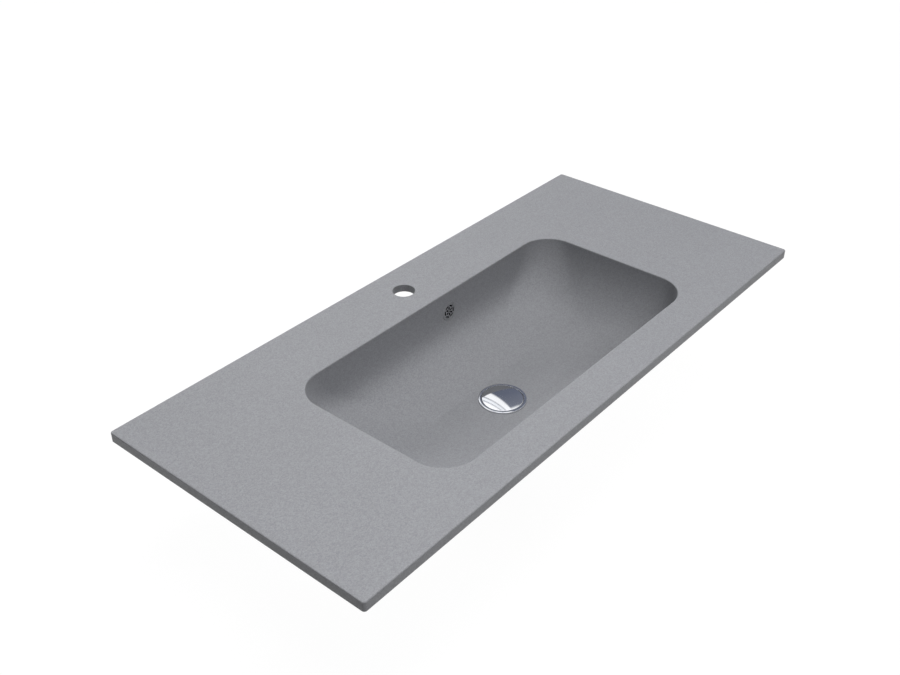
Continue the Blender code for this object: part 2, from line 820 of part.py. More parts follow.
def make_plug_cap(finish, axis):
    """The chrome dome: a thin shell with a turned-down rim."""
    inner_radius = cap_radius - cap_thickness
    outside = dome_points(cap_radius - cap_rim_round, 0, dome_steps)[::-1]
    rim = arc_points(
        cap_radius - cap_rim_round, cap_rim_top_z - cap_rim_round, cap_rim_round, 90, 0, edge_steps
    )
    foot = [(cap_radius, cap_rim_bottom_z), (inner_radius, cap_rim_bottom_z)]
    inside = dome_points(inner_radius, cap_thickness, edge_steps)
    add_turned("plug_cap", outside[:-1] + rim + foot + inside, large_steps, finish, axis)


def make_plug_core(finish, axis):
    """The moulded core that fills the dome: seal groove, threaded boss and blind bore."""
    plate_radius = plug_seal_path + core_plate_overhang
    dome = dome_points(plate_radius, cap_thickness + gap, edge_steps)
    bore_top_z = stem_top_z + gap
    profile = [
        (0, bore_top_z), (stem_bore, bore_top_z), (stem_bore, core_boss_z), (core_boss_radius, core_boss_z),
        (core_boss_radius, core_bottom_z), (core_hub_radius + core_lip, core_bottom_z),
        (core_hub_radius + core_lip, core_lip_top_z), (core_hub_radius, core_lip_top_z),
        (core_hub_radius, plate_bottom_z), (plate_radius, plate_bottom_z),
    ] + dome
    add_turned("plug_core", profile, medium_steps, finish, axis)


def make_plug_seal(finish, axis):
    add_o_ring("plug_seal", plug_seal_path, plug_seal_radius, plug_seal_z, medium_steps, finish, axis)


def make_plug_stem(finish, axis):
    profile = [
        (0, stem_bottom_z), (stem_radius - stem_chamfer, stem_bottom_z),
        (stem_radius, stem_bottom_z + stem_chamfer), (stem_radius, stem_top_z - stem_chamfer),
        (stem_radius - stem_chamfer, stem_top_z), (0, stem_top_z),
    ]
    add_turned("plug_stem", profile, small_steps, finish, axis)


def make_stem_lock_nut(finish, axis):
    bottom_z = lock_nut_top_z - lock_nut_height
    nut = add_hex(
        "stem_lock_nut", lock_nut_across_flats, bottom_z, lock_nut_top_z, lock_nut_chamfer,
        small_steps, finish, axis,
    )
    bore = add_disc(
        "lock_nut_bore", stem_bore, bottom_z - overrun, lock_nut_top_z + overrun, small_steps, axis
    )
    cut(nut, bore)


# The cartridge

def zigzag(angle):
    """A triangle wave from 0 at a tooth's tip to 1 in its valley."""
    phase = (angle * tooth_count / (2 * math.pi)) % 1
    return 1 - abs(2 * phase - 1)


def add_crown_tube(name, inner, outer, flat_z, tip_z, finish, axis):
    """A tube with one flat end and one end cut in teeth, whose edge runs along the zigzag."""
    count = tooth_count * tooth_points
    vertices = []
    for k in range(count):
        angle = 2 * math.pi * k / count
        edge_z = tip_z + tooth_height * zigzag(angle)
        corners = ((inner, flat_z), (outer, flat_z), (outer, edge_z), (inner, edge_z))
        vertices += [(r * math.cos(angle), r * math.sin(angle), z) for r, z in corners]
    faces = []
    for k in range(count):
        here, after = 4 * k, 4 * ((k + 1) % count)
        for side in range(4):
            beside = (side + 1) % 4
            faces.append((here + side, after + side, after + beside, here + beside))
    return add_solid(name, vertices, faces, finish, axis)


def make_barrel(finish, axis):
    """The guide barrel: a collar with a lip round the shaft, and ribs with key ways between them."""
    lip_radius = shaft_radius + shaft_clearance
    profile = [
        (lip_radius, collar_top_z), (lip_radius, collar_bottom_z), (barrel_bore, collar_bottom_z),
        (barrel_bore, barrel_bottom_z), (barrel_radius, barrel_bottom_z),
        (barrel_radius, collar_bottom_z), (collar_radius, collar_bottom_z), (collar_radius, collar_top_z),
    ]
    barrel = add_turned("cartridge_barrel", profile, small_steps, finish, axis)
    middle = (barrel_bore + barrel_radius) / 2
    ribs = add_radial_bars(
        "barrel_ribs", rib_count, 0.5, rib_reach, middle, rib_width, rib_bottom_z,
        collar_bottom_z + collar_height / 2, axis,
    )
    join(barrel, ribs)


def make_barrel_washer(finish, axis):
    bottom_z = washer_top_z - barrel_washer_thickness
    add_ring(
        "barrel_washer", barrel_radius + gap, collar_radius, bottom_z, washer_top_z,
        small_steps, finish, axis,
    )


def make_end_cap(finish, axis):
    """A disc that closes the barrel, with a spigot that carries the spring and a drain hole."""
    bottom_z = end_cap_top_z - end_cap_thickness
    drain = stem_radius / 2
    profile = [
        (drain, bottom_z), (barrel_radius, bottom_z), (barrel_radius, end_cap_top_z),
        (spigot_radius, end_cap_top_z), (spigot_radius, spigot_top_z), (drain, spigot_top_z),
    ]
    add_turned("cartridge_end_cap", profile, small_steps, finish, axis)


def make_plunger(finish, axis):
    """The keyed plunger: a shaft out of the collar, and a head with keys and a toothed crown."""
    plunger = add_crown_tube(
        "cartridge_plunger", stem_bore, head_radius, head_top_z, tooth_tip_z, finish, axis
    )
    shaft_foot_z = head_top_z - key_height / 2
    shaft = add_ring(
        "plunger_shaft", stem_bore, shaft_radius, shaft_foot_z, shaft_top_z, small_steps, None, axis
    )
    join(plunger, shaft)
    wall = (stem_bore + head_radius) / 2
    keys = add_radial_bars(
        "plunger_keys", rib_count, 0, wall, key_reach, key_width, head_top_z - key_height, head_top_z, axis
    )
    join(plunger, keys)


def make_rotor(finish, axis):
    """The rotor: a crown that the plunger's teeth turn, and lugs that pass between the ribs."""
    rotor = add_crown_tube(
        "cartridge_rotor", rotor_bore, head_radius, rotor_bottom_z, rotor_tip_z - tooth_height, finish, axis
    )
    wall = (rotor_bore + head_radius) / 2
    lugs = add_radial_bars(
        "rotor_lugs", rib_count, 0, wall, key_reach, key_width, lug_top_z - lug_height, lug_top_z, axis
    )
    join(rotor, lugs)


def make_spring(finish, axis):
    """One helix between the end cap and the rotor, as a tube along a curve."""
    count = spring_turns * points_per_turn
    turn = np.linspace(0, 2 * math.pi * spring_turns, count + 1)
    height = np.linspace(spring_bottom_z + spring_wire_radius, spring_top_z - spring_wire_radius, count + 1)
    path = np.stack([spring_path * np.cos(turn), spring_path * np.sin(turn), height], axis=-1)
    beside = np.linalg.norm(path[points_per_turn:] - path[:-points_per_turn], axis=1)
    least_gap = beside.min() - 2 * spring_wire_radius
    print("least gap between the spring's turns, in metres:", round(least_gap, 5))

    wire = bpy.data.curves.new("cartridge_spring", "CURVE")
    wire.dimensions = "3D"
    wire.bevel_depth = spring_wire_radius
    wire.bevel_resolution = 1
    wire.use_fill_caps = True
    line = wire.splines.new("POLY")
    line.points.add(count)
    line.points.foreach_set("co", np.hstack([path, np.ones((count + 1, 1))]).ravel())
    add_object("cartridge_spring", wire, finish, axis)


def build():
    clear_scene()
    composite = make_finish("mineral_composite", (0.33, 0.335, 0.355), 0.55, 0.0)
    chrome = make_finish("chrome", (0.85, 0.86, 0.88), 0.06, 1.0)
    brass = make_finish("brass", (0.65, 0.48, 0.22), 0.35, 1.0)
    steel = make_finish("stainless_steel", (0.55, 0.55, 0.56), 0.3, 1.0)
    grey_plastic = make_finish("grey_plastic", (0.30, 0.305, 0.32), 0.45, 0.0)
    white_plastic = make_finish("white_plastic", (0.75, 0.75, 0.73), 0.4, 0.0)
    black_rubber = make_finish("black_rubber", (0.03, 0.03, 0.03), 0.7, 0.0)

    waste_axis = place_axis("waste_axis", 0, waste_y, 0)
    overflow_axis = place_overflow_axis()

    make_casting(composite, waste_axis, overflow_axis)
    make_overflow_duct(composite, waste_axis)
    make_overflow_bezel(grey_plastic, overflow_axis)
    make_overflow_grille(grey_plastic, overflow_axis)
    make_overflow_seal(black_rubber, overflow_axis)

    make_waste_body(chrome, waste_axis)
    make_flange_gasket(black_rubber, waste_axis)
    make_cone_seal(black_rubber, waste_axis)
    make_slip_washer(white_plastic, waste_axis)
    make_back_nut(brass, waste_axis)

    make_barrel(white_plastic, waste_axis)
    make_barrel_washer(black_rubber, waste_axis)
    make_end_cap(white_plastic, waste_axis)
    make_spring(steel, waste_axis)
    make_plunger(grey_plastic, waste_axis)
    make_rotor(white_plastic, waste_axis)

    make_plug_stem(brass, waste_axis)
    make_stem_lock_nut(brass, waste_axis)
    make_plug_core(white_plastic, waste_axis)
    make_plug_cap(chrome, waste_axis)
    make_plug_seal(black_rubber, waste_axis)
    bpy.context.view_layer.update()


build()
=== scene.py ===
# %% [markdown]
# # Dressing a vanity-top washbasin
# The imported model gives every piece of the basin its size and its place. This script loads it as a fixed
# frame, lays finer skins over the pieces that show, gives each surface its finish, and lights it as in a
# product photograph. Lengths are in metres: +X is to the right of a person at the basin, +Y is to the wall
# and +Z is up.

import math

import bmesh
import bpy
import numpy as np
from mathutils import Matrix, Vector


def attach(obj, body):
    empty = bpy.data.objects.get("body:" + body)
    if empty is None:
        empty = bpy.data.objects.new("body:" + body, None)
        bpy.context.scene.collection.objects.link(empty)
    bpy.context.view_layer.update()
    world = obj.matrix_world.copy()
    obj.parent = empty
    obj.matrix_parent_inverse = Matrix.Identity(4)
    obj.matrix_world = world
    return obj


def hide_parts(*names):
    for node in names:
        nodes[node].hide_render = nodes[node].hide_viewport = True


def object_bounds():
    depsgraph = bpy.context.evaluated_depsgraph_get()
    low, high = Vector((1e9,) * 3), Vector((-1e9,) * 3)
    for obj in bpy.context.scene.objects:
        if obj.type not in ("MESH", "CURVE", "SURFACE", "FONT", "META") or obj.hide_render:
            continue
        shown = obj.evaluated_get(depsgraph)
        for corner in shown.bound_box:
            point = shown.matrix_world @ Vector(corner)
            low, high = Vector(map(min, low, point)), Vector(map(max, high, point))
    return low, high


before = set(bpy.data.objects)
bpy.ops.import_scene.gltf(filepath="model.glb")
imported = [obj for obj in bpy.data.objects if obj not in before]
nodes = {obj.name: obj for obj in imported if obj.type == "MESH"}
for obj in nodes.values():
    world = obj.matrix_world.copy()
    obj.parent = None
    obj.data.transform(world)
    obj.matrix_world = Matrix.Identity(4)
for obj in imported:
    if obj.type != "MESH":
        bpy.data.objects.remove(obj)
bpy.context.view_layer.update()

# %% [markdown]
# ## The camera
# The photograph looks down on the near left corner of the top. A fit of the top's four corners, the tap
# hole and the waste gives the place, turn and focal length of the camera. A plain perspective camera with
# no shift follows it, so nothing else has to bend to match.

# %% Camera
def add_object(name, data):
    """A new object in the scene, at its origin."""
    item = bpy.data.objects.new(name, data)
    bpy.context.scene.collection.objects.link(item)
    return item


camera_tilt, camera_turn = 56.207, -49.985
camera_data = bpy.data.cameras.new("camera")
camera_data.sensor_width = 36.0
camera_data.lens = 43.53
camera = add_object("camera", camera_data)
camera.location = (-1.05365, -1.03347, 0.88883)
camera.rotation_euler = (math.radians(camera_tilt), 0, math.radians(camera_turn))
bpy.context.scene.camera = camera
bpy.context.scene.view_settings.view_transform = "Standard"
print("camera looks down by", round(90 - camera_tilt, 1), "degrees")

# %% [markdown]
# ## Surfaces on a grid
# Almost every new piece is a skin over a grid of rings. A turned piece carries a profile round an axis, and
# the casting carries rings of its own. One helper turns such a grid into a mesh: it joins each ring to the
# next with four-sided faces, merges what falls together, and turns the faces outwards. Others make the
# rings of a prism and close the ends of a form.

# %% From a grid of points to a closed mesh
merge_distance = 0.000002


def tidy_mesh(mesh, crease=50):
    """Merges points that lie together, turns the faces outwards and shades round stretches smooth."""
    shell = bmesh.new()
    shell.from_mesh(mesh)
    bmesh.ops.remove_doubles(shell, verts=shell.verts, dist=merge_distance)
    bmesh.ops.recalc_face_normals(shell, faces=shell.faces)
    shell.to_mesh(mesh)
    shell.free()
    mesh.shade_smooth()
    mesh.set_sharp_from_angle(angle=math.radians(crease))


def add_surface(name, grid, loop, crease=50):
    """A skin over a grid of points, shaped (rings, points of a ring, 3).

    Point k of ring j joins its neighbours k + 1 and j + 1. Each ring closes on itself, and with loop the
    last ring joins the first. A ring whose points all lie together closes an end as a pole.
    """
    rings, around = grid.shape[:2]
    index = np.arange(rings * around).reshape(rings, around)
    here = index if loop else index[:-1]
    after = np.roll(index, -1, axis=0) if loop else index[1:]
    quads = np.stack([here, np.roll(here, -1, 1), np.roll(after, -1, 1), after], axis=-1)
    mesh = bpy.data.meshes.new(name)
    mesh.from_pydata(grid.reshape(-1, 3).tolist(), [], quads.reshape(-1, 4).tolist())
    tidy_mesh(mesh, crease)
    return add_object(name, mesh)


def at_heights(x, y, height):
    """Rings of points from their places in plan, each ring at one height."""
    return np.stack([x, y, np.broadcast_to(height[:, None], x.shape)], axis=-1)


def raised(outline, low, high):
    """A plan outline at two heights."""
    return np.array([np.column_stack([outline, np.full(len(outline), z)]) for z in (low, high)])


def capped(rings):
    """Rings with a pole before the first and after the last, each in the middle of its ring."""
    poles = [np.broadcast_to(ring.mean(0), ring.shape)[None] for ring in (rings[0], rings[-1])]
    return np.concatenate([poles[0], rings, poles[1]])


print("points closer than", merge_distance * 1e6, "micrometres become one")

# %% [markdown]
# No cast or turned edge is sharp: each has a small round that catches a thin line of light. A profile is
# therefore written as its corners and a radius for each, and the rounds are worked out for all corners at
# once.

# %% Rounded profiles and turned pieces
def rounded(corners, radii, steps=4):
    """The corners of a closed profile, each replaced by an arc that touches both of its sides.

    At half angle a between the sides, an arc of radius r touches them r / tan(a) from the corner, and
    its centre lies r / sin(a) from the corner, along the line between the sides. Near a short side the
    radius shrinks so that no arc takes more than 0.48 of a side.
    """
    corners = np.array(corners, float)
    to_last = np.roll(corners, 1, axis=0) - corners
    to_next = np.roll(corners, -1, axis=0) - corners
    last_length = np.linalg.norm(to_last, axis=1)
    next_length = np.linalg.norm(to_next, axis=1)
    to_last = to_last / last_length[:, None]
    to_next = to_next / next_length[:, None]
    half = np.arccos(np.clip((to_last * to_next).sum(axis=1), -1, 1)) / 2
    half = np.clip(half, 0.02, math.pi / 2 - 1e-4)
    radii = np.broadcast_to(np.array(radii, float), half.shape)
    reach = np.minimum(radii / np.tan(half), 0.48 * np.minimum(last_length, next_length))
    radii = reach * np.tan(half)
    middle = to_last + to_next
    middle = middle / np.maximum(np.linalg.norm(middle, axis=1), 1e-9)[:, None]
    centre = corners + middle * (radii / np.sin(half))[:, None]
    start = corners + to_last * reach[:, None] - centre
    end = corners + to_next * reach[:, None] - centre
    turn = math.pi - 2 * half
    share = np.linspace(0, 1, steps + 1)[None, :]
    first = np.sin((1 - share) * turn[:, None]) / np.sin(turn)[:, None]
    second = np.sin(share * turn[:, None]) / np.sin(turn)[:, None]
    arcs = centre[:, None] + first[..., None] * start[:, None] + second[..., None] * end[:, None]
    return arcs.reshape(-1, 2)


def full_turn(steps):
    """Angles once round in equal steps."""
    return np.linspace(0, 2 * math.pi, steps, endpoint=False)


def turned(profile, around, axis_y=0):
    """The grid of a (radius, height) profile carried once round a vertical axis."""
    angle = full_turn(around)
    radius, height = np.array(profile, float).T
    return at_heights(radius[:, None] * np.cos(angle), axis_y + radius[:, None] * np.sin(angle), height)


print("points of a rounded square:", len(rounded([(0, 0), (1, 0), (1, 1), (0, 1)], 0.1)))

# %% [markdown]
# Holes, windows and ports are cut with exact booleans, as a drill or a core in the mould would leave
# them, and the result is kept as plain mesh. A weighted normal finish then keeps broad flat faces flat up
# to their rounded edges.

# %% Cutting and finishing
def as_mesh(piece):
    """Replaces a piece's mesh by what its modifiers make of it."""
    graph = bpy.context.evaluated_depsgraph_get()
    made = bpy.data.meshes.new_from_object(piece.evaluated_get(graph))
    piece.modifiers.clear()
    piece.data = made


def carve(piece, tools, operation="DIFFERENCE"):
    """Cuts the tools out of a piece, or joins them to it, and removes the tools."""
    for tool in tools:
        step = piece.modifiers.new(tool.name, "BOOLEAN")
        step.operation = operation
        step.solver = "EXACT"
        step.object = tool
    as_mesh(piece)
    for tool in tools:
        bpy.data.objects.remove(tool)


def finish_piece(piece, finish, body, replaced, crease=50):
    """Gives a piece its finish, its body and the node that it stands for."""
    tidy_mesh(piece.data, crease)
    piece.data.materials.clear()
    piece.data.materials.append(finish)
    even = piece.modifiers.new("even_normals", "WEIGHTED_NORMAL")
    even.keep_sharp = True
    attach(piece, body)
    for name in replaced:
        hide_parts(name)
    triangles = sum(len(face.vertices) - 2 for face in piece.data.polygons)
    box = np.array([corner[:] for corner in piece.bound_box]).round(4)
    print(piece.name, triangles, "triangles, from", box.min(0).tolist(), "to", box.max(0).tolist())


# %% [markdown]
# Some pieces carry two finishes, such as a smooth face and a raw back. The faces for the second one are
# picked by where they lie and which way they look, so the pick holds when a size changes.

# %% Picking faces
def face_values(piece, name):
    """A three-part value of every face, such as its centre or its normal."""
    values = np.empty(len(piece.data.polygons) * 3)
    piece.data.polygons.foreach_get(name, values)
    return values.reshape(-1, 3)


def second_finish(piece, finish, chosen):
    """Gives another finish to the faces for which chosen is true."""
    piece.data.materials.append(finish)
    piece.data.polygons.foreach_set("material_index", chosen.astype(np.int32))
    piece.data.update()
    print(piece.name, "has", finish.name, "on", int(chosen.sum()), "of", len(chosen), "faces")


# %% [markdown]
# ## Finishes
# Each finish is built from a few helpers: a set of nodes with the Principled shader, noise in the piece's
# own coordinates, and a remap of a noise to the range that a socket needs. Object coordinates are metres
# here, so a noise scale of 800 means grains of about a millimetre.

# %% Node helpers
def new_finish(name, colour, roughness, metallic=0.0):
    """A finish with the Principled shader, and the piece's own coordinates to place its patterns."""
    finish = bpy.data.materials.new(name)
    finish.use_nodes = True
    tree = finish.node_tree
    shader = tree.nodes["Principled BSDF"]
    shader.inputs["Base Color"].default_value = (*colour, 1)
    shader.inputs["Roughness"].default_value = roughness
    shader.inputs["Metallic"].default_value = metallic
    shader.inputs["IOR"].default_value = 1.5
    place = tree.nodes.new("ShaderNodeTexCoord").outputs["Object"]
    return finish, tree, shader, place


def add_node(tree, kind, values=(), **settings):
    """Makes a node, sets its properties, and links or sets its inputs."""
    node = tree.nodes.new(kind)
    for name, value in settings.items():
        setattr(node, name, value)
    for name, value in dict(values).items():
        if isinstance(value, bpy.types.NodeSocket):
            tree.links.new(value, node.inputs[name])
        else:
            node.inputs[name].default_value = value
    return node


def noise(tree, place, scale, detail):
    """Noise from 0 to 1 over the given coordinates."""
    values = {"Vector": place, "Scale": scale, "Detail": detail}
    return add_node(tree, "ShaderNodeTexNoise", values).outputs["Fac"]


def remap(tree, value, low, high, from_low=0.25, from_high=0.75):
    """Carries a value from one range to another. Noise lies mostly from a quarter to three quarters."""
    values = {"Value": value, "From Min": from_low, "From Max": from_high, "To Min": low, "To Max": high}
    return add_node(tree, "ShaderNodeMapRange", values).outputs["Result"]


def calculate(tree, operation, first, second):
    """The outcome of one operation on two values."""
    return add_node(tree, "ShaderNodeMath", {0: first, 1: second}, operation=operation).outputs[0]


def shaded(tree, colour, strength):
    """A colour times a grey strength, for grain and mottle."""
    scale = add_node(tree, "ShaderNodeVectorMath", {0: colour, "Scale": strength}, operation="SCALE")
    return scale.outputs["Vector"]


def add_bump(tree, shader, height, strength, distance):
    """Lets the shader see a height as fine relief."""
    values = {"Height": height, "Strength": strength, "Distance": distance}
    bump = add_node(tree, "ShaderNodeBump", values)
    tree.links.new(bump.outputs["Normal"], shader.inputs["Normal"])


# %% [markdown]
# ### Mineral composite
# The top is cast in polyester and marble powder, with a satin gel face. Close up it is a fine grey grain
# of lighter and darker specks, some 1.6 mm and some 0.7 mm across, with a faint cloud about 10 cm wide. Two
# layers of cells give each speck its own value, and noise gives the cloud. The gel is a little uneven in
# gloss, which the roughness follows. The back has no gel: it is the bare mix, paler, dull and slightly
# rough.

# %% Mineral composite
def cells(tree, place, scale, low, high):
    """A cell pattern with one value for each cell, spread from low to high."""
    cell = add_node(tree, "ShaderNodeTexVoronoi", {"Vector": place, "Scale": scale})
    value = add_node(tree, "ShaderNodeSeparateColor", {"Color": cell.outputs["Color"]}).outputs[0]
    return remap(tree, value, low, high, 0.0, 1.0)


cloud_scale, speck_scale, fine_scale = 9.0, 620.0, 1500.0


def make_composite(name, colour, roughness, gloss_spread, bump_strength, bump_depth, specular):
    """The colour times cloud and specks, with uneven gloss and a fine relief."""
    finish, tree, shader, place = new_finish(name, colour, roughness)
    shader.inputs["Specular IOR Level"].default_value = specular
    cloud = remap(tree, noise(tree, place, cloud_scale, 3.0), 0.985, 1.015)
    specks = cells(tree, place, speck_scale, 0.90, 1.10)
    fine = cells(tree, place, fine_scale, 0.90, 1.10)
    strength = calculate(tree, "MULTIPLY", calculate(tree, "MULTIPLY", cloud, specks), fine)
    tree.links.new(shaded(tree, colour, strength), shader.inputs["Base Color"])
    wear = remap(tree, noise(tree, place, 60.0, 4.0), roughness - gloss_spread, roughness + gloss_spread)
    tree.links.new(wear, shader.inputs["Roughness"])
    add_bump(tree, shader, noise(tree, place, 900.0, 3.0), bump_strength, bump_depth)
    return finish


composite = make_composite("composite_satin", (0.330, 0.335, 0.355), 0.42, 0.04, 0.06, 0.0001, 0.25)
raw_back = make_composite("composite_raw_back", (0.40, 0.40, 0.41), 0.80, 0.06, 0.5, 0.0004, 0.2)
print("composites:", composite.name, raw_back.name)

# %% [markdown]
# ### Metals, plastics and rubber
# The chrome is thin plate over brass: nearly a mirror, with a trace of haze. The nut, the rod and the
# lock nut are bare brass and the spring is steel, with fine rings round the waste's axis, which stands at
# waste_y. Moulded plastic has a soft even satin, and the rubber is matt and slightly dusty.

# %% Metals, plastics and rubber
def make_chrome(name):
    """Plated metal: a mirror whose haze varies slightly."""
    finish, tree, shader, place = new_finish(name, (0.86, 0.87, 0.89), 0.05, 1.0)
    haze = remap(tree, noise(tree, place, 120.0, 4.0), 0.035, 0.075)
    tree.links.new(haze, shader.inputs["Roughness"])
    return finish


def make_turned_metal(name, colour, roughness, centre_y):
    """Metal with fine tool rings: the noise is read by height and by distance from the turning axis."""
    finish, tree, shader, place = new_finish(name, colour, roughness, 1.0)
    part = add_node(tree, "ShaderNodeSeparateXYZ", {"Vector": place})
    across = calculate(tree, "SUBTRACT", part.outputs["Y"], centre_y)
    flat = add_node(tree, "ShaderNodeCombineXYZ", {"X": part.outputs["X"], "Y": across})
    reach = add_node(tree, "ShaderNodeVectorMath", {0: flat.outputs["Vector"]}, operation="LENGTH")
    rings = add_node(tree, "ShaderNodeCombineXYZ", {"X": reach.outputs["Value"], "Z": part.outputs["Z"]})
    rings = rings.outputs["Vector"]
    tool = noise(tree, rings, 2600.0, 2.0)
    stain = remap(tree, noise(tree, place, 70.0, 5.0), 0.86, 1.06)
    tree.links.new(shaded(tree, colour, stain), shader.inputs["Base Color"])
    tree.links.new(remap(tree, tool, roughness - 0.08, roughness + 0.1), shader.inputs["Roughness"])
    add_bump(tree, shader, tool, 0.25, 0.00005)
    return finish


def make_moulded(name, colour, roughness, bump=0.08, specular=0.5):
    """A moulding or casting in one colour, with a faint cloud and a fine grain."""
    finish, tree, shader, place = new_finish(name, colour, roughness)
    shader.inputs["Specular IOR Level"].default_value = specular
    cloud = remap(tree, noise(tree, place, 40.0, 3.0), 0.97, 1.03)
    tree.links.new(shaded(tree, colour, cloud), shader.inputs["Base Color"])
    wear = remap(tree, noise(tree, place, 300.0, 3.0), roughness - 0.05, roughness + 0.05)
    tree.links.new(wear, shader.inputs["Roughness"])
    add_bump(tree, shader, noise(tree, place, 1500.0, 2.0), bump, 0.00005)
    return finish


def make_rubber(name, colour):
    """Matt rubber, with dust that lightens it in places."""
    finish, tree, shader, place = new_finish(name, colour, 0.7)
    dust = remap(tree, noise(tree, place, 160.0, 5.0), 0.8, 1.5)
    tree.links.new(shaded(tree, colour, dust), shader.inputs["Base Color"])
    add_bump(tree, shader, noise(tree, place, 1800.0, 3.0), 0.2, 0.00008)
    return finish


waste_y = -0.252
chrome = make_chrome("chrome_plate")
brass = make_turned_metal("turned_brass", (0.65, 0.48, 0.22), 0.34, waste_y)
steel = make_turned_metal("drawn_steel", (0.55, 0.55, 0.56), 0.3, waste_y)
grey_plastic = make_moulded("grey_moulded", (0.30, 0.305, 0.32), 0.45)
white_plastic = make_moulded("white_moulded", (0.75, 0.75, 0.73), 0.4)
# This near-black, barely shiny finish is painted shade for the faces deep in the overflow hole and behind
# the rosette's slots.
shade_black = make_moulded("painted_shade_black", (0.004, 0.004, 0.005), 0.7, specular=0.05)
rubber = make_rubber("black_rubber", (0.03, 0.03, 0.032))
print("finishes:", len(bpy.data.materials))

# %% [markdown]
# ## The casting
# One piece of mineral composite is top, bowl and waste boss. Its skin is one closed row of rings, like a
# sleeve turned in on itself: down the bowl, through the waste hole, out under the boss, up the outside of
# the bowl, round the edge of the top, over the deck and back to the rim.

# %% Sizes of the casting
gap = 0.0003
deck_z = 0.015
slab_length, slab_width = 1.000, 0.450
slab_corner, slab_round = 0.0045, 0.0015
bowl_length, bowl_width, bowl_depth = 0.580, 0.280, 0.114
bowl_back_y = -0.1103
bowl_centre_y = bowl_back_y - bowl_width / 2
floor_z = deck_z - bowl_depth
end_p, end_q, side_p, side_q = 2.1, 4.2, 4.9, 1.1
floor_half, least_straight = 0.036, 0.0002
bowl_corner, corner_growth = 0.050, 0.083
bowl_wall, shell_fillet, rim_round = 0.011, 0.008, 0.0015
corner_steps, long_steps, short_steps = 24, 36, 20
print("ledges behind, beside:", -bowl_back_y, (slab_length - bowl_length) / 2)

# %% [markdown]
# A ring is a rectangle with round corners. Its points keep their places along the four corners and four
# sides from ring to ring, so the lines of the mesh run smoothly down the bowl.

# %% Rings
def ring_pattern():
    """For each point of a ring: the plan direction of its corner's arc, and the corner it belongs to.

    On a side the direction stays, and the corner's sign runs from one end of the side to the other.
    """
    quarter = np.linspace(0, math.pi / 2, corner_steps + 1)
    signs = [(1, 1), (-1, 1), (-1, -1), (1, -1)]
    angles, sign_x, sign_y = [], [], []
    for k, steps in enumerate((long_steps, short_steps, long_steps, short_steps)):
        here, after = signs[k], signs[(k + 1) % 4]
        run = np.linspace(0, 1, steps + 1)[1:-1]
        angles += [quarter + k * math.pi / 2, np.full_like(run, (k + 1) * math.pi / 2)]
        sign_x += [np.full_like(quarter, here[0]), here[0] + (after[0] - here[0]) * run]
        sign_y += [np.full_like(quarter, here[1]), here[1] + (after[1] - here[1]) * run]
    angles = np.concatenate(angles)
    return np.cos(angles), np.sin(angles), np.concatenate(sign_x), np.concatenate(sign_y)


ray_x, ray_y, sign_x, sign_y = ring_pattern()
print("points of a ring:", len(ray_x))


def rings_at(half_x, half_y, radius, height, centre_y):
    """Level rings: sign * (half - radius) + radius * direction, for each row of the four values."""
    values = [np.atleast_1d(value) for value in (half_x, half_y, radius, height)]
    half_x, half_y, radius, height = np.broadcast_arrays(*values)
    x = sign_x * (half_x - radius)[:, None] + ray_x * radius[:, None]
    y = sign_y * (half_y - radius)[:, None] + ray_y * radius[:, None] + centre_y
    return at_heights(x, y, height)


def bowl_section(share):
    """Half length, half width, corner radius and height of the bowl at a share of its depth.

    Each half size draws in to floor_half by the part 1 - (1 - share^p)^(1/q) of the way: upright at the
    rim, level at the floor. The corners open out with depth, as far as the half sizes leave room.
    """
    end_part = 1 - (1 - share ** end_p) ** (1 / end_q)
    side_part = 1 - (1 - share ** side_p) ** (1 / side_q)
    half_x = bowl_length / 2 - (bowl_length / 2 - floor_half) * end_part
    half_y = bowl_width / 2 - (bowl_width / 2 - floor_half) * side_part
    radius = bowl_corner + corner_growth * (1 - (1 - share) ** 0.5)
    radius = np.minimum(radius, np.minimum(half_x, half_y) - least_straight)
    return half_x, half_y, radius, deck_z - bowl_depth * share


def bowl_rings(first_share, last_share, steps, offset):
    """Rings of the bowl between two shares of its depth, moved outwards by an offset.

    The offset follows the surface's normal, which comes from how fast each ring draws in and falls.
    """
    turn = np.linspace(0, math.pi / 2, steps + 1)
    share = first_share + (last_share - first_share) * np.sin(turn)
    step = 1e-4
    ahead, behind = np.minimum(share + step, 1.0), share - step
    half_x, half_y, radius, height = bowl_section(share)
    x1, y1, r1, z1 = bowl_section(ahead)
    x0, y0, r0, z0 = bowl_section(behind)
    fall = (z1 - z0)[:, None]
    along_x = sign_x * ((x1 - r1) - (x0 - r0))[:, None] * ray_x
    along_y = sign_y * ((y1 - r1) - (y0 - r0))[:, None] * ray_y
    draw = along_x + along_y + (r1 - r0)[:, None]
    length = np.hypot(fall, draw)
    outward = radius[:, None] - offset * fall / length
    x = sign_x * (half_x - radius)[:, None] + outward * ray_x
    y = sign_y * (half_y - radius)[:, None] + outward * ray_y + bowl_centre_y
    return np.stack([x, y, height[:, None] + offset * draw / length], axis=-1)


def edge_rings(half_x, half_y, radius, height, centre_y, spread, drop, start, end, steps=6):
    """Rings of a rounded edge: out by spread * cos and up by drop * sin of an angle."""
    angle = np.radians(np.linspace(start, end, steps + 1))
    out = spread * np.cos(angle)
    return rings_at(half_x + out, half_y + out, radius + out, height + drop * np.sin(angle), centre_y)


# %% [markdown]
# The waste sits in a recess in the bowl's floor. Under it the hole narrows to a throat, opens into the
# chamber that the overflow runs into, and narrows again where the seal closes it from below. These rings
# are circles, and their points take the directions of the bowl's last ring, so that the floor between
# them has no twist.

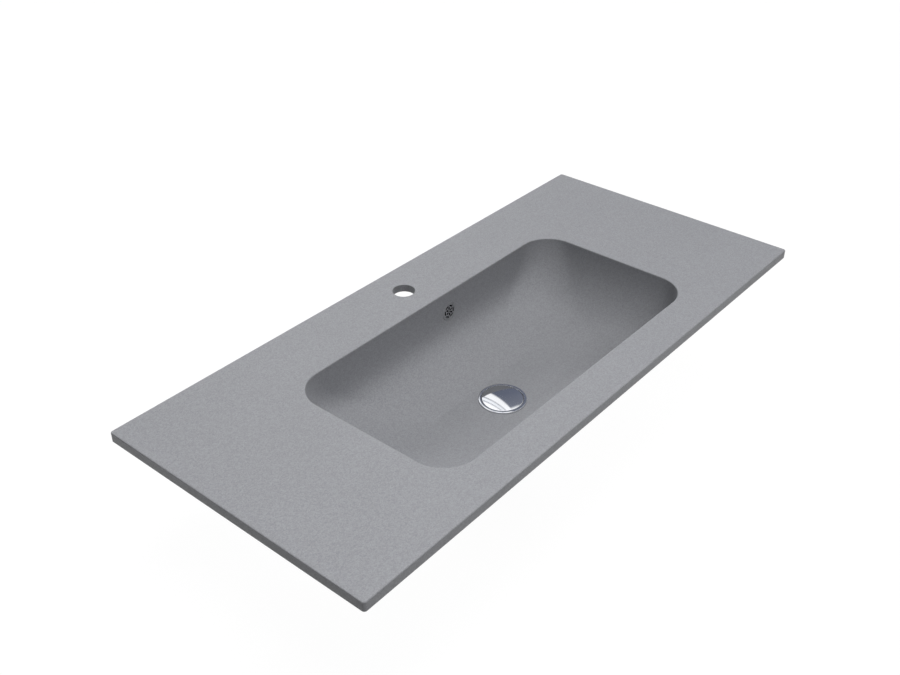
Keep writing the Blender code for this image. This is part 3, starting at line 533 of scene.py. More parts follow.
# %% The waste hole and the boss
throat_radius, chamber_radius, recess_radius = 0.023, 0.031, 0.0368
seat_z = floor_z - 0.0025
boss_bottom_z = floor_z - 0.044
chamber_top_z, chamber_bottom_z = floor_z - 0.014, boss_bottom_z + 0.009
dish_top_radius, dish_z = 0.0314, -0.1042
dish_edge, seat_slope = 0.0007, 0.658
boss_low, boss_high, boss_fillet = 0.040, 0.044, 0.004
mouth_round = 0.0004
skin_end_share = 0.9928
bowl_skin = bowl_rings(rim_round / bowl_depth, skin_end_share, 72, 0)
waste_angle = np.arctan2(bowl_skin[-1, :, 1] - waste_y, bowl_skin[-1, :, 0])


def circles(radius, height):
    """Circles round the waste's axis, in the directions of the bowl's last ring."""
    radius, height = np.atleast_1d(radius), np.atleast_1d(height)
    x = radius[:, None] * np.cos(waste_angle)
    return at_heights(x, waste_y + radius[:, None] * np.sin(waste_angle), height)


def floor_height(y):
    """Height of the bowl's floor near the waste, where it rises with the distance from its middle.

    Close to the floor the section's formula, solved for the height, comes down to past^q / p.
    """
    past = np.maximum(np.abs(y - bowl_centre_y) - floor_half, 0) / (bowl_width / 2 - floor_half)
    return floor_z + bowl_depth * past ** side_q / side_p


def waste_hole():
    """From the recess's rounded mouth down through the throat and chamber to the boss's outer edge."""
    mouth = circles(recess_radius + mouth_round, 0)[0]
    mouth[:, 2] = floor_height(mouth[:, 1])
    angle = np.linspace(0, math.pi / 2, 7)[1:]
    inner = recess_radius + mouth_round * (1 - np.sin(angle))
    rim = circles(inner, 0)
    rim[..., 2] = mouth[:, 2] - mouth_round * (1 - np.cos(angle))[:, None]
    cone_foot_z = dish_z - dish_edge - seat_slope * (dish_top_radius - throat_radius)
    corners = [
        (recess_radius, floor_z - mouth_round), (recess_radius, seat_z), (dish_top_radius, seat_z),
        (dish_top_radius, dish_z - dish_edge), (throat_radius, cone_foot_z),
        (throat_radius, chamber_top_z), (chamber_radius, chamber_top_z), (chamber_radius, chamber_bottom_z),
        (throat_radius, chamber_bottom_z), (throat_radius, boss_bottom_z), (boss_low, boss_bottom_z),
        (boss_high, floor_z - bowl_wall - boss_fillet),
    ]
    radii = [0, 0.0004, 0.0004, 0.0004, 0.001, 0.0008, 0.001, 0.001, 0.0008, 0.0008, 0.0025, 0]
    wall = rounded(corners, radii, 4)[5:-5]
    return mouth, rim, circles(*wall.T)


mouth, mouth_rim, hole_wall = waste_hole()
print("rings of the waste hole:", len(mouth_rim) + len(hole_wall))

# %% [markdown]
# Between the last ring of the bowl and the recess the floor is almost level, so straight lines blend one
# into the other. The outside joins the boss to the bowl in the same way, with a fillet at its foot.

# %% The whole skin of the casting
def blend_rings(first, last, steps):
    """Rings between two others, on straight lines from point to point, without the two ends."""
    share = np.linspace(0, 1, steps + 2)[1:-1, None, None]
    return first + (last - first) * share


shell_share, shell_end_share = (deck_z + shell_fillet) / bowl_depth, 0.955


def flare_rings(offset, start, end):
    """The fillet under the top, between two angles, for an outside at an offset from the bowl."""
    half_x, half_y, radius = bowl_section(np.array(shell_share))[:3]
    out = offset + shell_fillet
    return edge_rings(
        half_x + out, half_y + out, radius + out, -shell_fillet, bowl_centre_y,
        -shell_fillet, shell_fillet, start, end,
    )


def casting_grid():
    """The rings of the whole skin, from the bowl's rim round to the rim again."""
    floor = blend_rings(bowl_skin[-1], mouth, 9)
    shell = bowl_rings(shell_share, shell_end_share, 36, bowl_wall)[::-1]
    foot_radius = boss_high + boss_fillet
    foot = circles(foot_radius, 0)[0]
    foot[:, 2] = floor_height(foot[:, 1]) - bowl_wall
    angle = np.linspace(0, math.pi / 2, 6)[:-1]
    fillet = circles(foot_radius - boss_fillet * np.cos(angle), 0)
    fillet[..., 2] = foot[:, 2] - boss_fillet * (1 - np.sin(angle))[:, None]
    under = blend_rings(foot, shell[0], 6)
    flare = flare_rings(bowl_wall, 0, 90)[1:]
    flat = (slab_length / 2 - slab_round, slab_width / 2 - slab_round, slab_corner - slab_round)
    low = edge_rings(*flat, slab_round, -slab_width / 2, slab_round, slab_round, -90, 0)
    high = edge_rings(*flat, deck_z - slab_round, -slab_width / 2, slab_round, slab_round, 0, 90)
    rim_x, rim_y, rim_r, rim_z = bowl_section(np.array(rim_round / bowl_depth))
    rim = edge_rings(
        rim_x + rim_round, rim_y + rim_round, rim_r + rim_round, rim_z, bowl_centre_y,
        -rim_round, rim_round, 90, 0,
    )[:-1]
    inside = [bowl_skin, floor, mouth[None], mouth_rim, hole_wall]
    outside = [fillet, foot[None], under, shell, flare, low, high, rim]
    return np.concatenate(inside + outside)


casting = add_surface("composite_top", casting_grid(), True)
print("casting:", len(casting.data.polygons), "faces")

# %% [markdown]
# The tap hole's mouth is slightly rounded by the mould. A shallow round recess under it leaves 12 mm of
# the top, which is what the photograph shows inside the hole. The overflow hole is stepped for its ring,
# and set square to the wall, which leans a little there. The window in the boss lets the duct into the
# chamber.

# %% Tap hole, overflow hole and window
overrun, cut_clear = 0.006, 0.00001
tap_y, tap_radius, tap_round = -0.0558, 0.0175, 0.0004
tap_deck, tap_recess_radius = 0.012, 0.028
overflow_x, overflow_depth, overflow_tilt = 0.0435, 0.0365, 0.055
overflow_y = bowl_centre_y + float(bowl_section(np.array(overflow_depth / bowl_depth))[1])
overflow_z = deck_z - overflow_depth
bezel_radius, bezel_thickness, bezel_stand = 0.0150, 0.0026, 0.0006
overflow_hole_radius = 0.0132
duct_width, duct_depth, duct_wall = 0.046, 0.018, 0.004
window_half, window_inset, window_round = 0.014, 0.0045, 0.003


def on_overflow_axis(grid):
    """Moves a grid made round the Z axis onto the overflow's axis, which runs squarely into the wall.

    Height becomes the way into the wall: y grows with it, and the tilt lowers it slightly.
    """
    cosine, sine = math.cos(overflow_tilt), math.sin(overflow_tilt)
    x, y, z = grid[..., 0], grid[..., 1], grid[..., 2]
    return np.stack([
        overflow_x + x, overflow_y - y * sine + z * cosine, overflow_z - y * cosine - z * sine,
    ], axis=-1)


def tap_hole_tool():
    """The recess, the hole and its mouth, whose arc ends clear of the deck so that the cut is clean."""
    angle = np.linspace(0, math.pi / 2, 7)
    mouth_r = tap_radius + tap_round * (1 - np.cos(angle))
    mouth_z = deck_z - tap_round * (1 - np.sin(angle)) - cut_clear
    recess_z = deck_z - tap_deck
    below = [
        (0, -overrun), (tap_recess_radius, -overrun), (tap_recess_radius, recess_z), (tap_radius, recess_z),
    ]
    above = [(mouth_r[-1], deck_z + overrun), (0, deck_z + overrun)]
    profile = np.concatenate([below, np.stack([mouth_r, mouth_z], 1), above])
    return add_surface("tap_hole_tool", turned(profile, 128, tap_y), False)


def overflow_tool():
    """The stepped hole: wide for the ring, then narrow for its sleeve."""
    step = bezel_thickness - bezel_stand + gap
    profile = [
        (0, -overrun), (bezel_radius + gap, -overrun), (bezel_radius + gap, step),
        (overflow_hole_radius, step), (overflow_hole_radius, bowl_wall + overrun), (0, bowl_wall + overrun),
    ]
    return add_surface("overflow_tool", on_overflow_axis(turned(profile, 96)), False)


def window_tool():
    """An upright outline with round corners, carried through the boss's back wall."""
    half, near, far = window_half, chamber_radius - window_inset, boss_high + overrun
    low, high = floor_z - bowl_wall - gap - duct_depth + duct_wall, chamber_top_z - gap
    outline = rounded([(-half, low), (half, low), (half, high), (-half, high)], window_round, 6)
    rings = raised(outline, waste_y + near, waste_y + far)[..., [0, 2, 1]]
    return add_surface("window_tool", capped(rings), False)


def looks_out():
    """The casting's back: faces under the top that look down, or away from a point in the bowl.

    The ceiling of the recess under the tap hole lies higher, so faces that look straight down count up
    to half the top's thickness.
    """
    centre, normal = face_values(casting, "center"), face_values(casting, "normal")
    away = ((centre - [0, waste_y, floor_z / 2]) * normal).sum(axis=1) > 0
    under = (centre[:, 2] < 0.0004) & (away | (normal[:, 2] < -0.7))
    return under | ((centre[:, 2] < deck_z / 2) & (normal[:, 2] < -0.95))


carve(casting, [tap_hole_tool(), overflow_tool(), window_tool()])
finish_piece(casting, composite, "basin", ["basin_casting"], 42)
second_finish(casting, raw_back, looks_out())

# %% [markdown]
# ## The overflow ring and its rosette
# A ring sits in the stepped hole, almost flush with the wall, and carries a disc with a rosette of slots.
# In the photograph the face of both is as grey as the casting and the slots are black. The faces of the
# mesh that lie deeper than the grey face take a near-black finish: painted shade, for the darkness inside
# the hole and behind the slots.

# %% Overflow ring
sleeve_radius, sleeve_bore, sleeve_end = 0.0116, 0.0104, 0.014
grille_radius, grille_thickness, grille_sink = 0.0118, 0.0012, 0.0004
# Within this distance of the axis, the ring's faces deep in the hole take painted shade.
shade_within = 0.0112


def overflow_ring_profile():
    """Pocket for the rosette, face, rim and sleeve, as radius and distance into the wall."""
    face, back = -bezel_stand, bezel_thickness - bezel_stand
    pocket = face + grille_sink + grille_thickness + gap
    corners = [
        (sleeve_bore, pocket), (grille_radius + gap, pocket), (grille_radius + gap, face),
        (bezel_radius, face), (bezel_radius, back), (sleeve_radius, back), (sleeve_radius, sleeve_end),
        (sleeve_bore, sleeve_end),
    ]
    return rounded(corners, [0.0003, 0.0002, 0.0004, 0.0008, 0.0003, 0.0003, 0.0004, 0.0003])


def paint_shade_inside(piece, depth, widest):
    """Gives the near-black finish, painted shade, to faces deeper in the wall than depth and within widest
    of the axis.

    A face's depth is its centre's distance from the hole's mouth along the axis, and its reach is what is
    left of that distance once the depth is taken out.
    """
    centre = face_values(piece, "center") - [overflow_x, overflow_y, overflow_z]
    axis = np.array([0, math.cos(overflow_tilt), -math.sin(overflow_tilt)])
    inward = centre @ axis
    reach = np.linalg.norm(centre - inward[:, None] * axis, axis=1)
    second_finish(piece, shade_black, (inward > depth) & (reach < widest))


overflow_ring = add_surface("overflow_ring", on_overflow_axis(turned(overflow_ring_profile(), 96)), True)
finish_piece(overflow_ring, grey_plastic, "basin", ["overflow_bezel"])
# The sleeve's bore and the pocket behind the ring's face take painted shade.
paint_shade_inside(overflow_ring, 0.0, shade_within)

# %% [markdown]
# The rosette is a thin disc with a small eye, six slots that point at the eye and six bent ones round
# them, half a step apart. It is turned first and then pierced, as a stamping tool would do.

# %% Overflow rosette
slots, slot_width, slot_start, slot_end = 6, 0.0031, 0.0023, 0.0075
arc_inner, arc_outer, arc_share, eye_radius = 0.0081, 0.0107, 0.74, 0.0011


def prism_tool(name, outline, low, high):
    """A straight-sided cutter over a closed plan outline, on the overflow's axis."""
    return add_surface(name, on_overflow_axis(capped(raised(outline, low, high))), False)


def radial_slot(angle):
    """A slot with round ends along a ray: two half circles joined by its sides."""
    half, steps = slot_width / 2, 9
    turn = np.radians(np.concatenate([np.linspace(-90, 90, steps), np.linspace(90, 270, steps)]))
    reach = np.repeat([slot_end - half, slot_start + half], steps)
    along, across = reach + half * np.cos(turn), half * np.sin(turn)
    x = along * math.cos(angle) - across * math.sin(angle)
    y = along * math.sin(angle) + across * math.cos(angle)
    return np.stack([x, y], axis=1)


def bent_slot(angle):
    """A slot bent round the eye, with its four corners rounded."""
    half = math.pi / slots * arc_share
    turn = np.linspace(angle - half, angle + half, 13)
    ray = np.stack([np.cos(turn), np.sin(turn)], axis=1)
    return rounded(np.concatenate([arc_outer * ray, arc_inner * ray[::-1]]), 0.0004, 2)


def make_rosette():
    """Turns the disc and cuts its slots."""
    face = grille_sink - bezel_stand
    back = face + grille_thickness
    corners = [(eye_radius, face), (grille_radius, face), (grille_radius, back), (eye_radius, back)]
    profile = rounded(corners, [0.0002, 0.00035, 0.0002, 0.0002])
    rosette = add_surface("overflow_rosette", on_overflow_axis(turned(profile, 96)), True)
    spacing, near, far = 2 * math.pi / slots, face - overrun / 2, back + overrun / 2
    tools = []
    for k in range(slots):
        tools.append(prism_tool("radial_slot", radial_slot(spacing * (k + 0.5)), near, far))
        tools.append(prism_tool("bent_slot", bent_slot(spacing * k), near, far))
    carve(rosette, tools)
    return rosette


overflow_rosette = make_rosette()
finish_piece(overflow_rosette, grey_plastic, "basin", ["overflow_grille"])
# Below the grey face, the rosette's back and the walls of its slots take painted shade.
grey_face_depth, grey_face_edge = 0.00008, 0.0006
paint_shade_inside(overflow_rosette, grille_sink - bezel_stand + grey_face_depth, grille_radius - grey_face_edge)

# %% [markdown]
# ## The waste
# The chrome flange is one piece with its threaded tube. Its bead stands just above the bowl's floor, and
# a cone inside it is the seat of the plug. The tube carries a 1 1/4 inch pipe thread: eleven turns to the
# inch, 2.309 mm apart. Water enters through four ports from the overflow, and a cross holds the plug's
# cartridge.

# %% The thread, as a radius that depends on angle and height
tube_radius, tube_bore = 0.02095, 0.0189
thread_pitch, thread_depth = 0.002309, 0.0010
thread_gain, thread_cut, thread_fade = 1.3, 0.15, 0.8
tail_z = boss_bottom_z - 0.041
thread_top_z = chamber_top_z - 0.003


def thread_radius(angle, height):
    """The thread's outside: a wave along the helix height = pitch * turns, with rounded crest and root.

    The wave is a triangle with its tips taken off. Towards the tube's end it fades out over thread_fade
    turns.
    """
    phase = (height / thread_pitch - angle / (2 * math.pi)) % 1
    wave = np.clip((1 - np.abs(2 * phase - 1)) * thread_gain - thread_cut, 0, 1)
    wave = wave * wave * (3 - 2 * wave)
    start = np.clip((height - tail_z) / (thread_fade * thread_pitch), 0, 1)
    return tube_radius - thread_depth * (1 - wave * start)


print("turns of thread:", round((thread_top_z - tail_z) / thread_pitch, 1))

# %% Flange, seat and tube
flange_radius, bead_radius, flange_crest_z = 0.0365, 0.00215, floor_z + 0.002
flange_bead_z = flange_crest_z - bead_radius
rim_edge, rim_level, rim_fall, bore_step = 0.0001, 0.0023, 0.0002, 0.0016
gasket_thickness = 0.0012
lip_under_z = seat_z + gap + gasket_thickness + gap
seat_top_radius, seat_foot_radius = 0.0322, 0.0205
seat_foot = (seat_foot_radius, flange_bead_z - seat_slope * (seat_top_radius - seat_foot_radius))
dish_radius, waste_dish_z = 0.0307, -0.10453
bore_soft, bore_middle_z = 0.0003, -0.150


def round_waste(profile, around):
    """A profile turned round the waste's axis."""
    return turned(profile, around, waste_y)


def uneven_rings(radius, height):
    """Rings round the waste's axis, from a row of radii for each height."""
    angle = full_turn(radius.shape[1])
    return at_heights(radius * np.cos(angle), waste_y + radius * np.sin(angle), height)


def waste_profile():
    """Bore, seat cone and rolled rim on the inside, then the lip, dish and tube on the outside.

    The rim's top is level on its inner half and slopes down by about six degrees on its outer half.
    """
    inner = flange_radius - 2 * bead_radius
    corners = [
        (tube_bore, seat_foot[1] - bore_step), seat_foot, (inner, flange_bead_z),
        (inner + rim_edge, flange_crest_z), (inner + rim_level, flange_crest_z),
        (flange_radius - rim_edge, flange_crest_z - rim_fall), (flange_radius, lip_under_z),
        (dish_radius, lip_under_z), (dish_radius, waste_dish_z),
        (tube_radius, waste_dish_z - seat_slope * (dish_radius - tube_radius)),
    ]
    radii = [0.0002, 0.0005, 0.0004, 0.00015, 0.005, 0.0003, 0.0003, 0.0004, 0.0005, 0]
    return rounded(corners, radii, 6)[:-6]


def waste_grid(around=120):
    """Seat, rim, dish and thread from above, then the tube's end and its bore up to the middle."""
    height = np.append(np.arange(thread_top_z, tail_z, -thread_pitch / 10), tail_z)
    thread = uneven_rings(thread_radius(full_turn(around)[None, :], height[:, None]), height)
    end = [(tube_bore + bore_soft, tail_z), (tube_bore, tail_z + bore_soft), (tube_bore, bore_middle_z)]
    return np.concatenate([round_waste(waste_profile(), around), thread, round_waste(end, around)])


waste = add_surface("waste_with_flange", waste_grid(), True, 60)

# %% [markdown]
# The ports and the cross come after turning, as on the lathe-made piece, where they are milled.

# %% Ports and cross
hub_radius, hub_top_z, hub_bottom_z = 0.015, -0.11495, -0.12095
barrel_radius = 0.011
port_width, port_height, port_top_z = 0.012, 0.014, chamber_top_z - 0.003
spoke_width, spoke_height, spoke_top = 0.003, 0.0048, hub_top_z - 0.0002


def bar_tools(name, count, turn, inner, outer, width, low, high):
    """Equal straight bars round the waste's axis."""
    tools = []
    for k in range(count):
        angle = 2 * math.pi * (k + turn) / count
        ray = np.array([math.cos(angle), math.sin(angle)])
        half = np.array([-math.sin(angle), math.cos(angle)]) * width / 2
        plan = np.array([ray * inner - half, ray * outer - half, ray * outer + half, ray * inner + half])
        tools.append(add_surface(name, capped(raised(plan + [0, waste_y], low, high)), False))
    return tools


port_low_z, spoke_low = port_top_z - port_height, spoke_top - spoke_height
carve(waste, bar_tools("port", 4, 0, hub_radius + gap, chamber_radius, port_width, port_low_z, port_top_z))
hub_profile = rounded([
    (barrel_radius + gap, hub_bottom_z), (hub_radius, hub_bottom_z), (hub_radius, hub_top_z),
    (barrel_radius + gap, hub_top_z),
], 0.0004)
hub = add_surface("hub", round_waste(hub_profile, 72), True)
inner, outer = hub_radius - 0.001, tube_bore + 0.0008
spokes = bar_tools("spoke", 4, 0.5, inner, outer, spoke_width, spoke_low, spoke_top)
carve(waste, [hub] + spokes, "UNION")
finish_piece(waste, chrome, "basin", ["waste_body"], 40)

# %% [markdown]
# ## The plug's cap
# A thin pressed dome, 63 mm across, with its rim turned down. Its outside is a shallow parabola of
# revolution, 2.1 mm high. The edge of the bowl's wall, where the photograph's cap mirrors it, lies as on
# a dome this flat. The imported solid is 2.4 mm higher at the crown.

# %% Plug cap
cap_radius, cap_dome, cap_thickness, cap_rim = 0.0315, 0.0021, 0.0012, 0.0006
cap_rim_top, cap_rim_bottom = flange_crest_z, flange_crest_z - 0.002


def cap_height(radius):
    """Height of the dome: its crown, less the square of the distance from the axis."""
    return cap_rim_top + cap_dome * (1 - (radius / (cap_radius - cap_rim)) ** 2)


def cap_profile():
    """Crown to rim on the outside, round the rim's foot, and back to the axis on the inside."""
    outside = np.linspace(0, cap_radius - cap_rim, 40)
    angle = np.radians(np.linspace(80, 0, 9))
    rim_x = cap_radius - cap_rim + cap_rim * np.cos(angle)
    rim_z = cap_rim_top - cap_rim + cap_rim * np.sin(angle)
    inner, soft = cap_radius - cap_thickness, 0.0002
    foot = [
        (cap_radius, cap_rim_bottom + soft), (cap_radius - soft, cap_rim_bottom),
        (inner + soft, cap_rim_bottom), (inner, cap_rim_bottom + soft),
    ]
    inside = np.linspace(inner, 0, 20)
    upper = np.stack([outside, cap_height(outside)], 1)
    lower = np.stack([inside, cap_height(inside) - cap_thickness], 1)
    return np.concatenate([upper, np.stack([rim_x, rim_z], 1), foot, lower])


cap = add_surface("plug_dome", round_waste(cap_profile(), 144), False, 60)
finish_piece(cap, chrome, "plug", ["plug_cap"], 60)

# %% [markdown]
# The moulded core fills the dome, so it follows the cap's underside at a small gap. Below its plate it has
# a groove for the plug's seal, and a boss. The rod's bore goes right through.

# %% Plug core
core_plate_radius, core_plate_z = 0.0286, -0.09895
core_hub_radius, core_lip_radius, core_lip_z, core_bottom_z = 0.02535, 0.02635, -0.10225, -0.10265
core_boss_radius, core_boss_z, core_bore_radius = 0.008, -0.10595, 0.0043


def core_profile():
    """Boss, lip, groove and plate from the bore outwards, then the dome back to the bore."""
    below = [
        (core_bore_radius, core_boss_z), (core_boss_radius, core_boss_z), (core_boss_radius, core_bottom_z),
        (core_lip_radius, core_bottom_z), (core_lip_radius, core_lip_z),
        (core_hub_radius, core_lip_z), (core_hub_radius, core_plate_z),
        (core_plate_radius, core_plate_z),
    ]
    radius = np.linspace(core_plate_radius, core_bore_radius, 16)
    dome = np.stack([radius, cap_height(radius) - cap_thickness - gap], axis=1)
    return np.concatenate([below, dome])


core = add_surface("plug_filling", round_waste(core_profile(), 96), True, 40)
finish_piece(core, white_plastic, "plug", ["plug_core"], 40)

# %% [markdown]
# ## Nut, seal and washer
# From below, the waste is drawn down by a large brass nut on a plastic washer and a tapered rubber seal.
# The nut is a hexagon turned down at its corners. Its side is the smaller of two radii at each angle and
# height: the hexagon's, and that of the cone that the lathe leaves. Its thread follows the tube's.

# %% Back nut
nut_flats, nut_top_z, nut_bottom_z = 0.052, -0.1551, -0.1671
nut_flange_radius, nut_flange_z = 0.0295, -0.1576
nut_edge, bevel_inset, bevel_height, bevel_slope = 0.0004, 0.0006, 0.0022, 1.9
nut_thread_inset, thread_play, mouth_above, mouth_below = 0.0006, 0.0002, 0.0012, 0.0010


def hexagon_radius(angle, flats):
    """Distance from the axis to a hexagon's side at an angle."""
    turn = (angle + math.pi / 6) % (math.pi / 3) - math.pi / 6
    return flats / 2 / np.cos(turn)


def nut_grid(around=180):
    """The six sides from below, then the flange, the thread from above and the lower face's edge."""
    angle = full_turn(around)[None, :]
    corner = nut_flats / math.sqrt(3)
    height = np.concatenate([
        [nut_bottom_z], np.linspace(nut_bottom_z + 0.00005, nut_bottom_z + bevel_height, 10),
        np.linspace(nut_bottom_z + 0.003, nut_flange_z, 6),
    ])
    cone = np.minimum(nut_flats / 2 - bevel_inset + (height - nut_bottom_z) * bevel_slope, corner)
    side = np.minimum(hexagon_radius(angle + math.pi / 6, nut_flats), cone[:, None])
    side[0] -= nut_edge
    flange = [
        (nut_flange_radius - nut_edge, nut_flange_z), (nut_flange_radius, nut_flange_z + nut_edge),
        (nut_flange_radius, nut_top_z - nut_edge), (nut_flange_radius - nut_edge, nut_top_z),
        (tube_radius + mouth_above, nut_top_z),
    ]
    inner_z = np.linspace(nut_top_z - nut_thread_inset, nut_bottom_z + nut_thread_inset, 52)
    thread = thread_radius(angle, inner_z[:, None]) + thread_play
    foot = [(tube_radius + mouth_below, nut_bottom_z)]
    return np.concatenate([
        uneven_rings(side, height), round_waste(flange, around), uneven_rings(thread, inner_z),
        round_waste(foot, around),
    ])


nut = add_surface("hexagon_nut", nut_grid(), True, 30)
finish_piece(nut, brass, "basin", ["back_nut"], 30)

# %% [markdown]
# Between nut and boss lie the tapered rubber seal, whose thin end goes up between tube and boss, and a
# white slip washer that lets the nut turn without dragging the rubber. Both are plain turned profiles.

# %% Cone seal and slip washer
ring_bore, seal_radius, washer_radius = tube_radius + gap, 0.0295, 0.030
seal_top_z, seal_bottom_z = boss_bottom_z + 0.0013, -0.1530
washer_top_z, washer_bottom_z = -0.1533, -0.1548
seal_corners = [
    (ring_bore, seal_bottom_z), (seal_radius, seal_bottom_z), (seal_radius, -0.14815),
    (0.027075, -0.1433), (0.0227, -0.1433), (0.021975, seal_top_z), (ring_bore, seal_top_z),
]
seal_profile = rounded(seal_corners, [0.0003, 0.0008, 0.0008, 0.0006, 0.0002, 0.0002, 0.0002])
cone_seal = add_surface("cone_rubber", round_waste(seal_profile, 96), True)
finish_piece(cone_seal, rubber, "basin", ["cone_seal"])
washer_corners = [
    (ring_bore, washer_bottom_z), (washer_radius, washer_bottom_z), (washer_radius, washer_top_z),
    (ring_bore, washer_top_z),
]
slip_washer = add_surface("slip_ring", round_waste(rounded(washer_corners, 0.0003), 96), True)
finish_piece(slip_washer, white_plastic, "basin", ["slip_washer"])

# %% [markdown]
# ## The overflow duct
# The duct is a channel in the same composite, bonded to the back and underside of the bowl. It is cut
# from a strip of the bowl's own outside, grown by the duct's depth, so it follows the bowl at one depth
# all the way down.

# %% Overflow duct
lowest_share = 0.99999


def duct_middle(share):
    """How far the duct's middle lies to the right, at a share of the way from waste to overflow."""
    return overflow_x * (3 * share ** 2 - 2 * share ** 3)


def duct_plan(half_width, end_y, back_y, steps=28):
    """The duct's plan: a strip whose middle swings over on a smooth step from overflow to waste."""
    share = np.linspace(0, 1, steps + 1)
    y = waste_y + (bowl_back_y - waste_y) * share
    swing = duct_middle(share)
    y = np.concatenate([[end_y], y[1:], [back_y]])
    swing = np.concatenate([swing, swing[-1:]])
    right = np.stack([swing + half_width, y], 1)
    left = np.stack([swing - half_width, y], 1)
    return np.concatenate([right, left[::-1]])


def flat_prism(name, plan, low, high):
    """A prism over a plan of any shape, with one face of many sides at each end."""
    mesh = bpy.data.meshes.new(name)
    count = len(plan)
    index = np.arange(count)
    sides = np.stack([index, np.roll(index, -1), np.roll(index, -1) + count, index + count], 1)
    faces = [index.tolist(), (index + count).tolist()] + sides.tolist()
    mesh.from_pydata(raised(plan, low, high).reshape(-1, 3).tolist(), [], faces)
    tidy_mesh(mesh)
    return add_object(name, mesh)


def closed_form(name, rows):
    """A filled form over rings that go downwards, closed by a pole below and by a raised lid above."""
    lid = rows[0] + [0, 0, overrun]
    return add_surface(name, capped(np.concatenate([lid[None], rows])), False)


def bowl_form(name, offset):
    """The bowl below the top, as a filled form at an offset from its surface."""
    return closed_form(name, bowl_rings(deck_z / bowl_depth, lowest_share, 40, offset))


def make_duct():
    """Strip and channel, each cut to a form round the bowl, then freed of bowl, fillet and boss."""
    outer = bowl_wall + gap + duct_depth
    back_y = bowl_back_y + outer + overrun
    low, high = boss_bottom_z - overrun, floor_z
    duct = flat_prism("bonded_duct", duct_plan(duct_width / 2, waste_y, back_y), low, -gap)
    carve(duct, [bowl_form("duct_outside", outer)], "INTERSECT")
    channel_plan = duct_plan(duct_width / 2 - duct_wall, waste_y - overrun, back_y)
    channel = flat_prism("duct_channel", channel_plan, low - overrun, -gap - duct_wall)
    carve(channel, [bowl_form("duct_inside", outer - duct_wall)], "INTERSECT")
    flare = flare_rings(bowl_wall + gap, 90, 0)[:-1]
    shell = bowl_rings(shell_share, lowest_share, 40, bowl_wall + gap)
    outside = closed_form("bowl_outside", np.concatenate([flare, shell]))
    grow = (boss_high - boss_low) / (floor_z - bowl_wall / 2 - boss_bottom_z)
    reach_low = boss_low + gap + grow * (low - overrun - boss_bottom_z)
    reach_high = boss_low + gap + grow * (high - boss_bottom_z)
    boss_side = [(0, low - overrun), (reach_low, low - overrun), (reach_high, high), (0, high)]
    boss = add_surface("boss_outside", round_waste(boss_side, 96), False)
    carve(duct, [channel, outside, boss])
    return duct


duct = make_duct()
finish_piece(duct, raw_back, "basin", ["overflow_duct"], 35)

# %% [markdown]
# The duct is glued on with a bead of resin, laid by hand along both sides and round the top of its joint.
# The joint's line is found by rays that meet the casting: upwards under the bowl, then level at its back.
# A round section is then carried along that line, a little uneven as a hand leaves it.

# %% Resin bead
bead_size, bead_sink = 0.0018, 0.0005
joint_start, joint_back_y, joint_top_z = 0.003, -0.118, -0.001
ray_from_z, ray_from_y = -0.2, 0.01
resin = make_moulded("resin_bead", (0.31, 0.31, 0.32), 0.35, 0.15)


def meet_casting(starts, way):
    """The points where rays from the starting points, all one way, meet the casting."""
    solid = casting.evaluated_get(bpy.context.evaluated_depsgraph_get())
    return np.array([solid.ray_cast(Vector(start), Vector(way))[1] for start in starts])


def swept(path, size, reference):
    """The grid of a round section along a path, square to it, in a frame from one fixed direction.

    The section's radius is size times one plus two small waves along the path's length.
    """
    along = np.gradient(path, axis=0)
    along = along / np.linalg.norm(along, axis=1)[:, None]
    side = np.cross(along, reference)
    side = side / np.linalg.norm(side, axis=1)[:, None]
    up = np.cross(side, along)
    length = np.append(0, np.cumsum(np.linalg.norm(np.diff(path, axis=0), axis=1)))
    radius = size * (1 + 0.10 * np.sin(length * 570) + 0.06 * np.sin(length * 1330 + 1))
    angle = full_turn(12)[:, None]
    ring = side[:, None] * np.cos(angle) + up[:, None] * np.sin(angle)
    return capped(path[:, None] + ring * radius[:, None, None])


def joint_side(sign):
    """The joint's line up one side of the duct, from the boss to the underside of the top."""
    y = np.linspace(waste_y + boss_high + joint_start, joint_back_y, 70)
    x = duct_middle((y - waste_y) / (bowl_back_y - waste_y)) + sign * duct_width / 2
    under = meet_casting(np.stack([x, y, np.full_like(y, ray_from_z)], 1), (0, 0, 1))
    height = np.linspace(under[-1, 2], joint_top_z, 60)[1:]
    behind = np.full((len(height), 3), overflow_x + sign * duct_width / 2)
    behind[:, 1], behind[:, 2] = ray_from_y, height
    return np.concatenate([under, meet_casting(behind, (0, -1, 0))])


def joint_top(left, right):
    """The joint's line under the top: out from the bowl, along the duct's back and in again."""
    back = max(corner[1] for corner in duct.bound_box)
    corners = np.array([left, (left[0], back, 0), (right[0], back, 0), right])
    corners[:, 2] = -bead_sink
    place = np.append(0, np.cumsum(np.linalg.norm(np.diff(corners, axis=0), axis=1)))
    steps = np.linspace(0, place[-1], 90)
    path = np.stack([np.interp(steps, place, corners[:, k]) for k in range(3)], axis=1)
    soft = np.stack([np.convolve(path[:, k], np.ones(7) / 7, "valid") for k in range(3)], axis=1)
    return np.concatenate([path[:3], soft, path[-3:]])


sides = [joint_side(sign) for sign in (-1, 1)]
beads = [("bead_left", sides[0], (1, 0, 0)), ("bead_right", sides[1], (1, 0, 0))]
beads.append(("bead_top", joint_top(sides[0][-1], sides[1][-1]), (0, 0, 1)))
for name, path, reference in beads:
    bead = add_surface(name, swept(path, bead_size, reference), False)
    finish_piece(bead, resin, "basin", [])

# %% [markdown]
# ## Pieces that stay as the frame gives them
# The seals, the cartridge and the rod sit inside, where only a cut-away or a raised plug shows them. Their
# shapes in the model are right, so each only gets its finish.

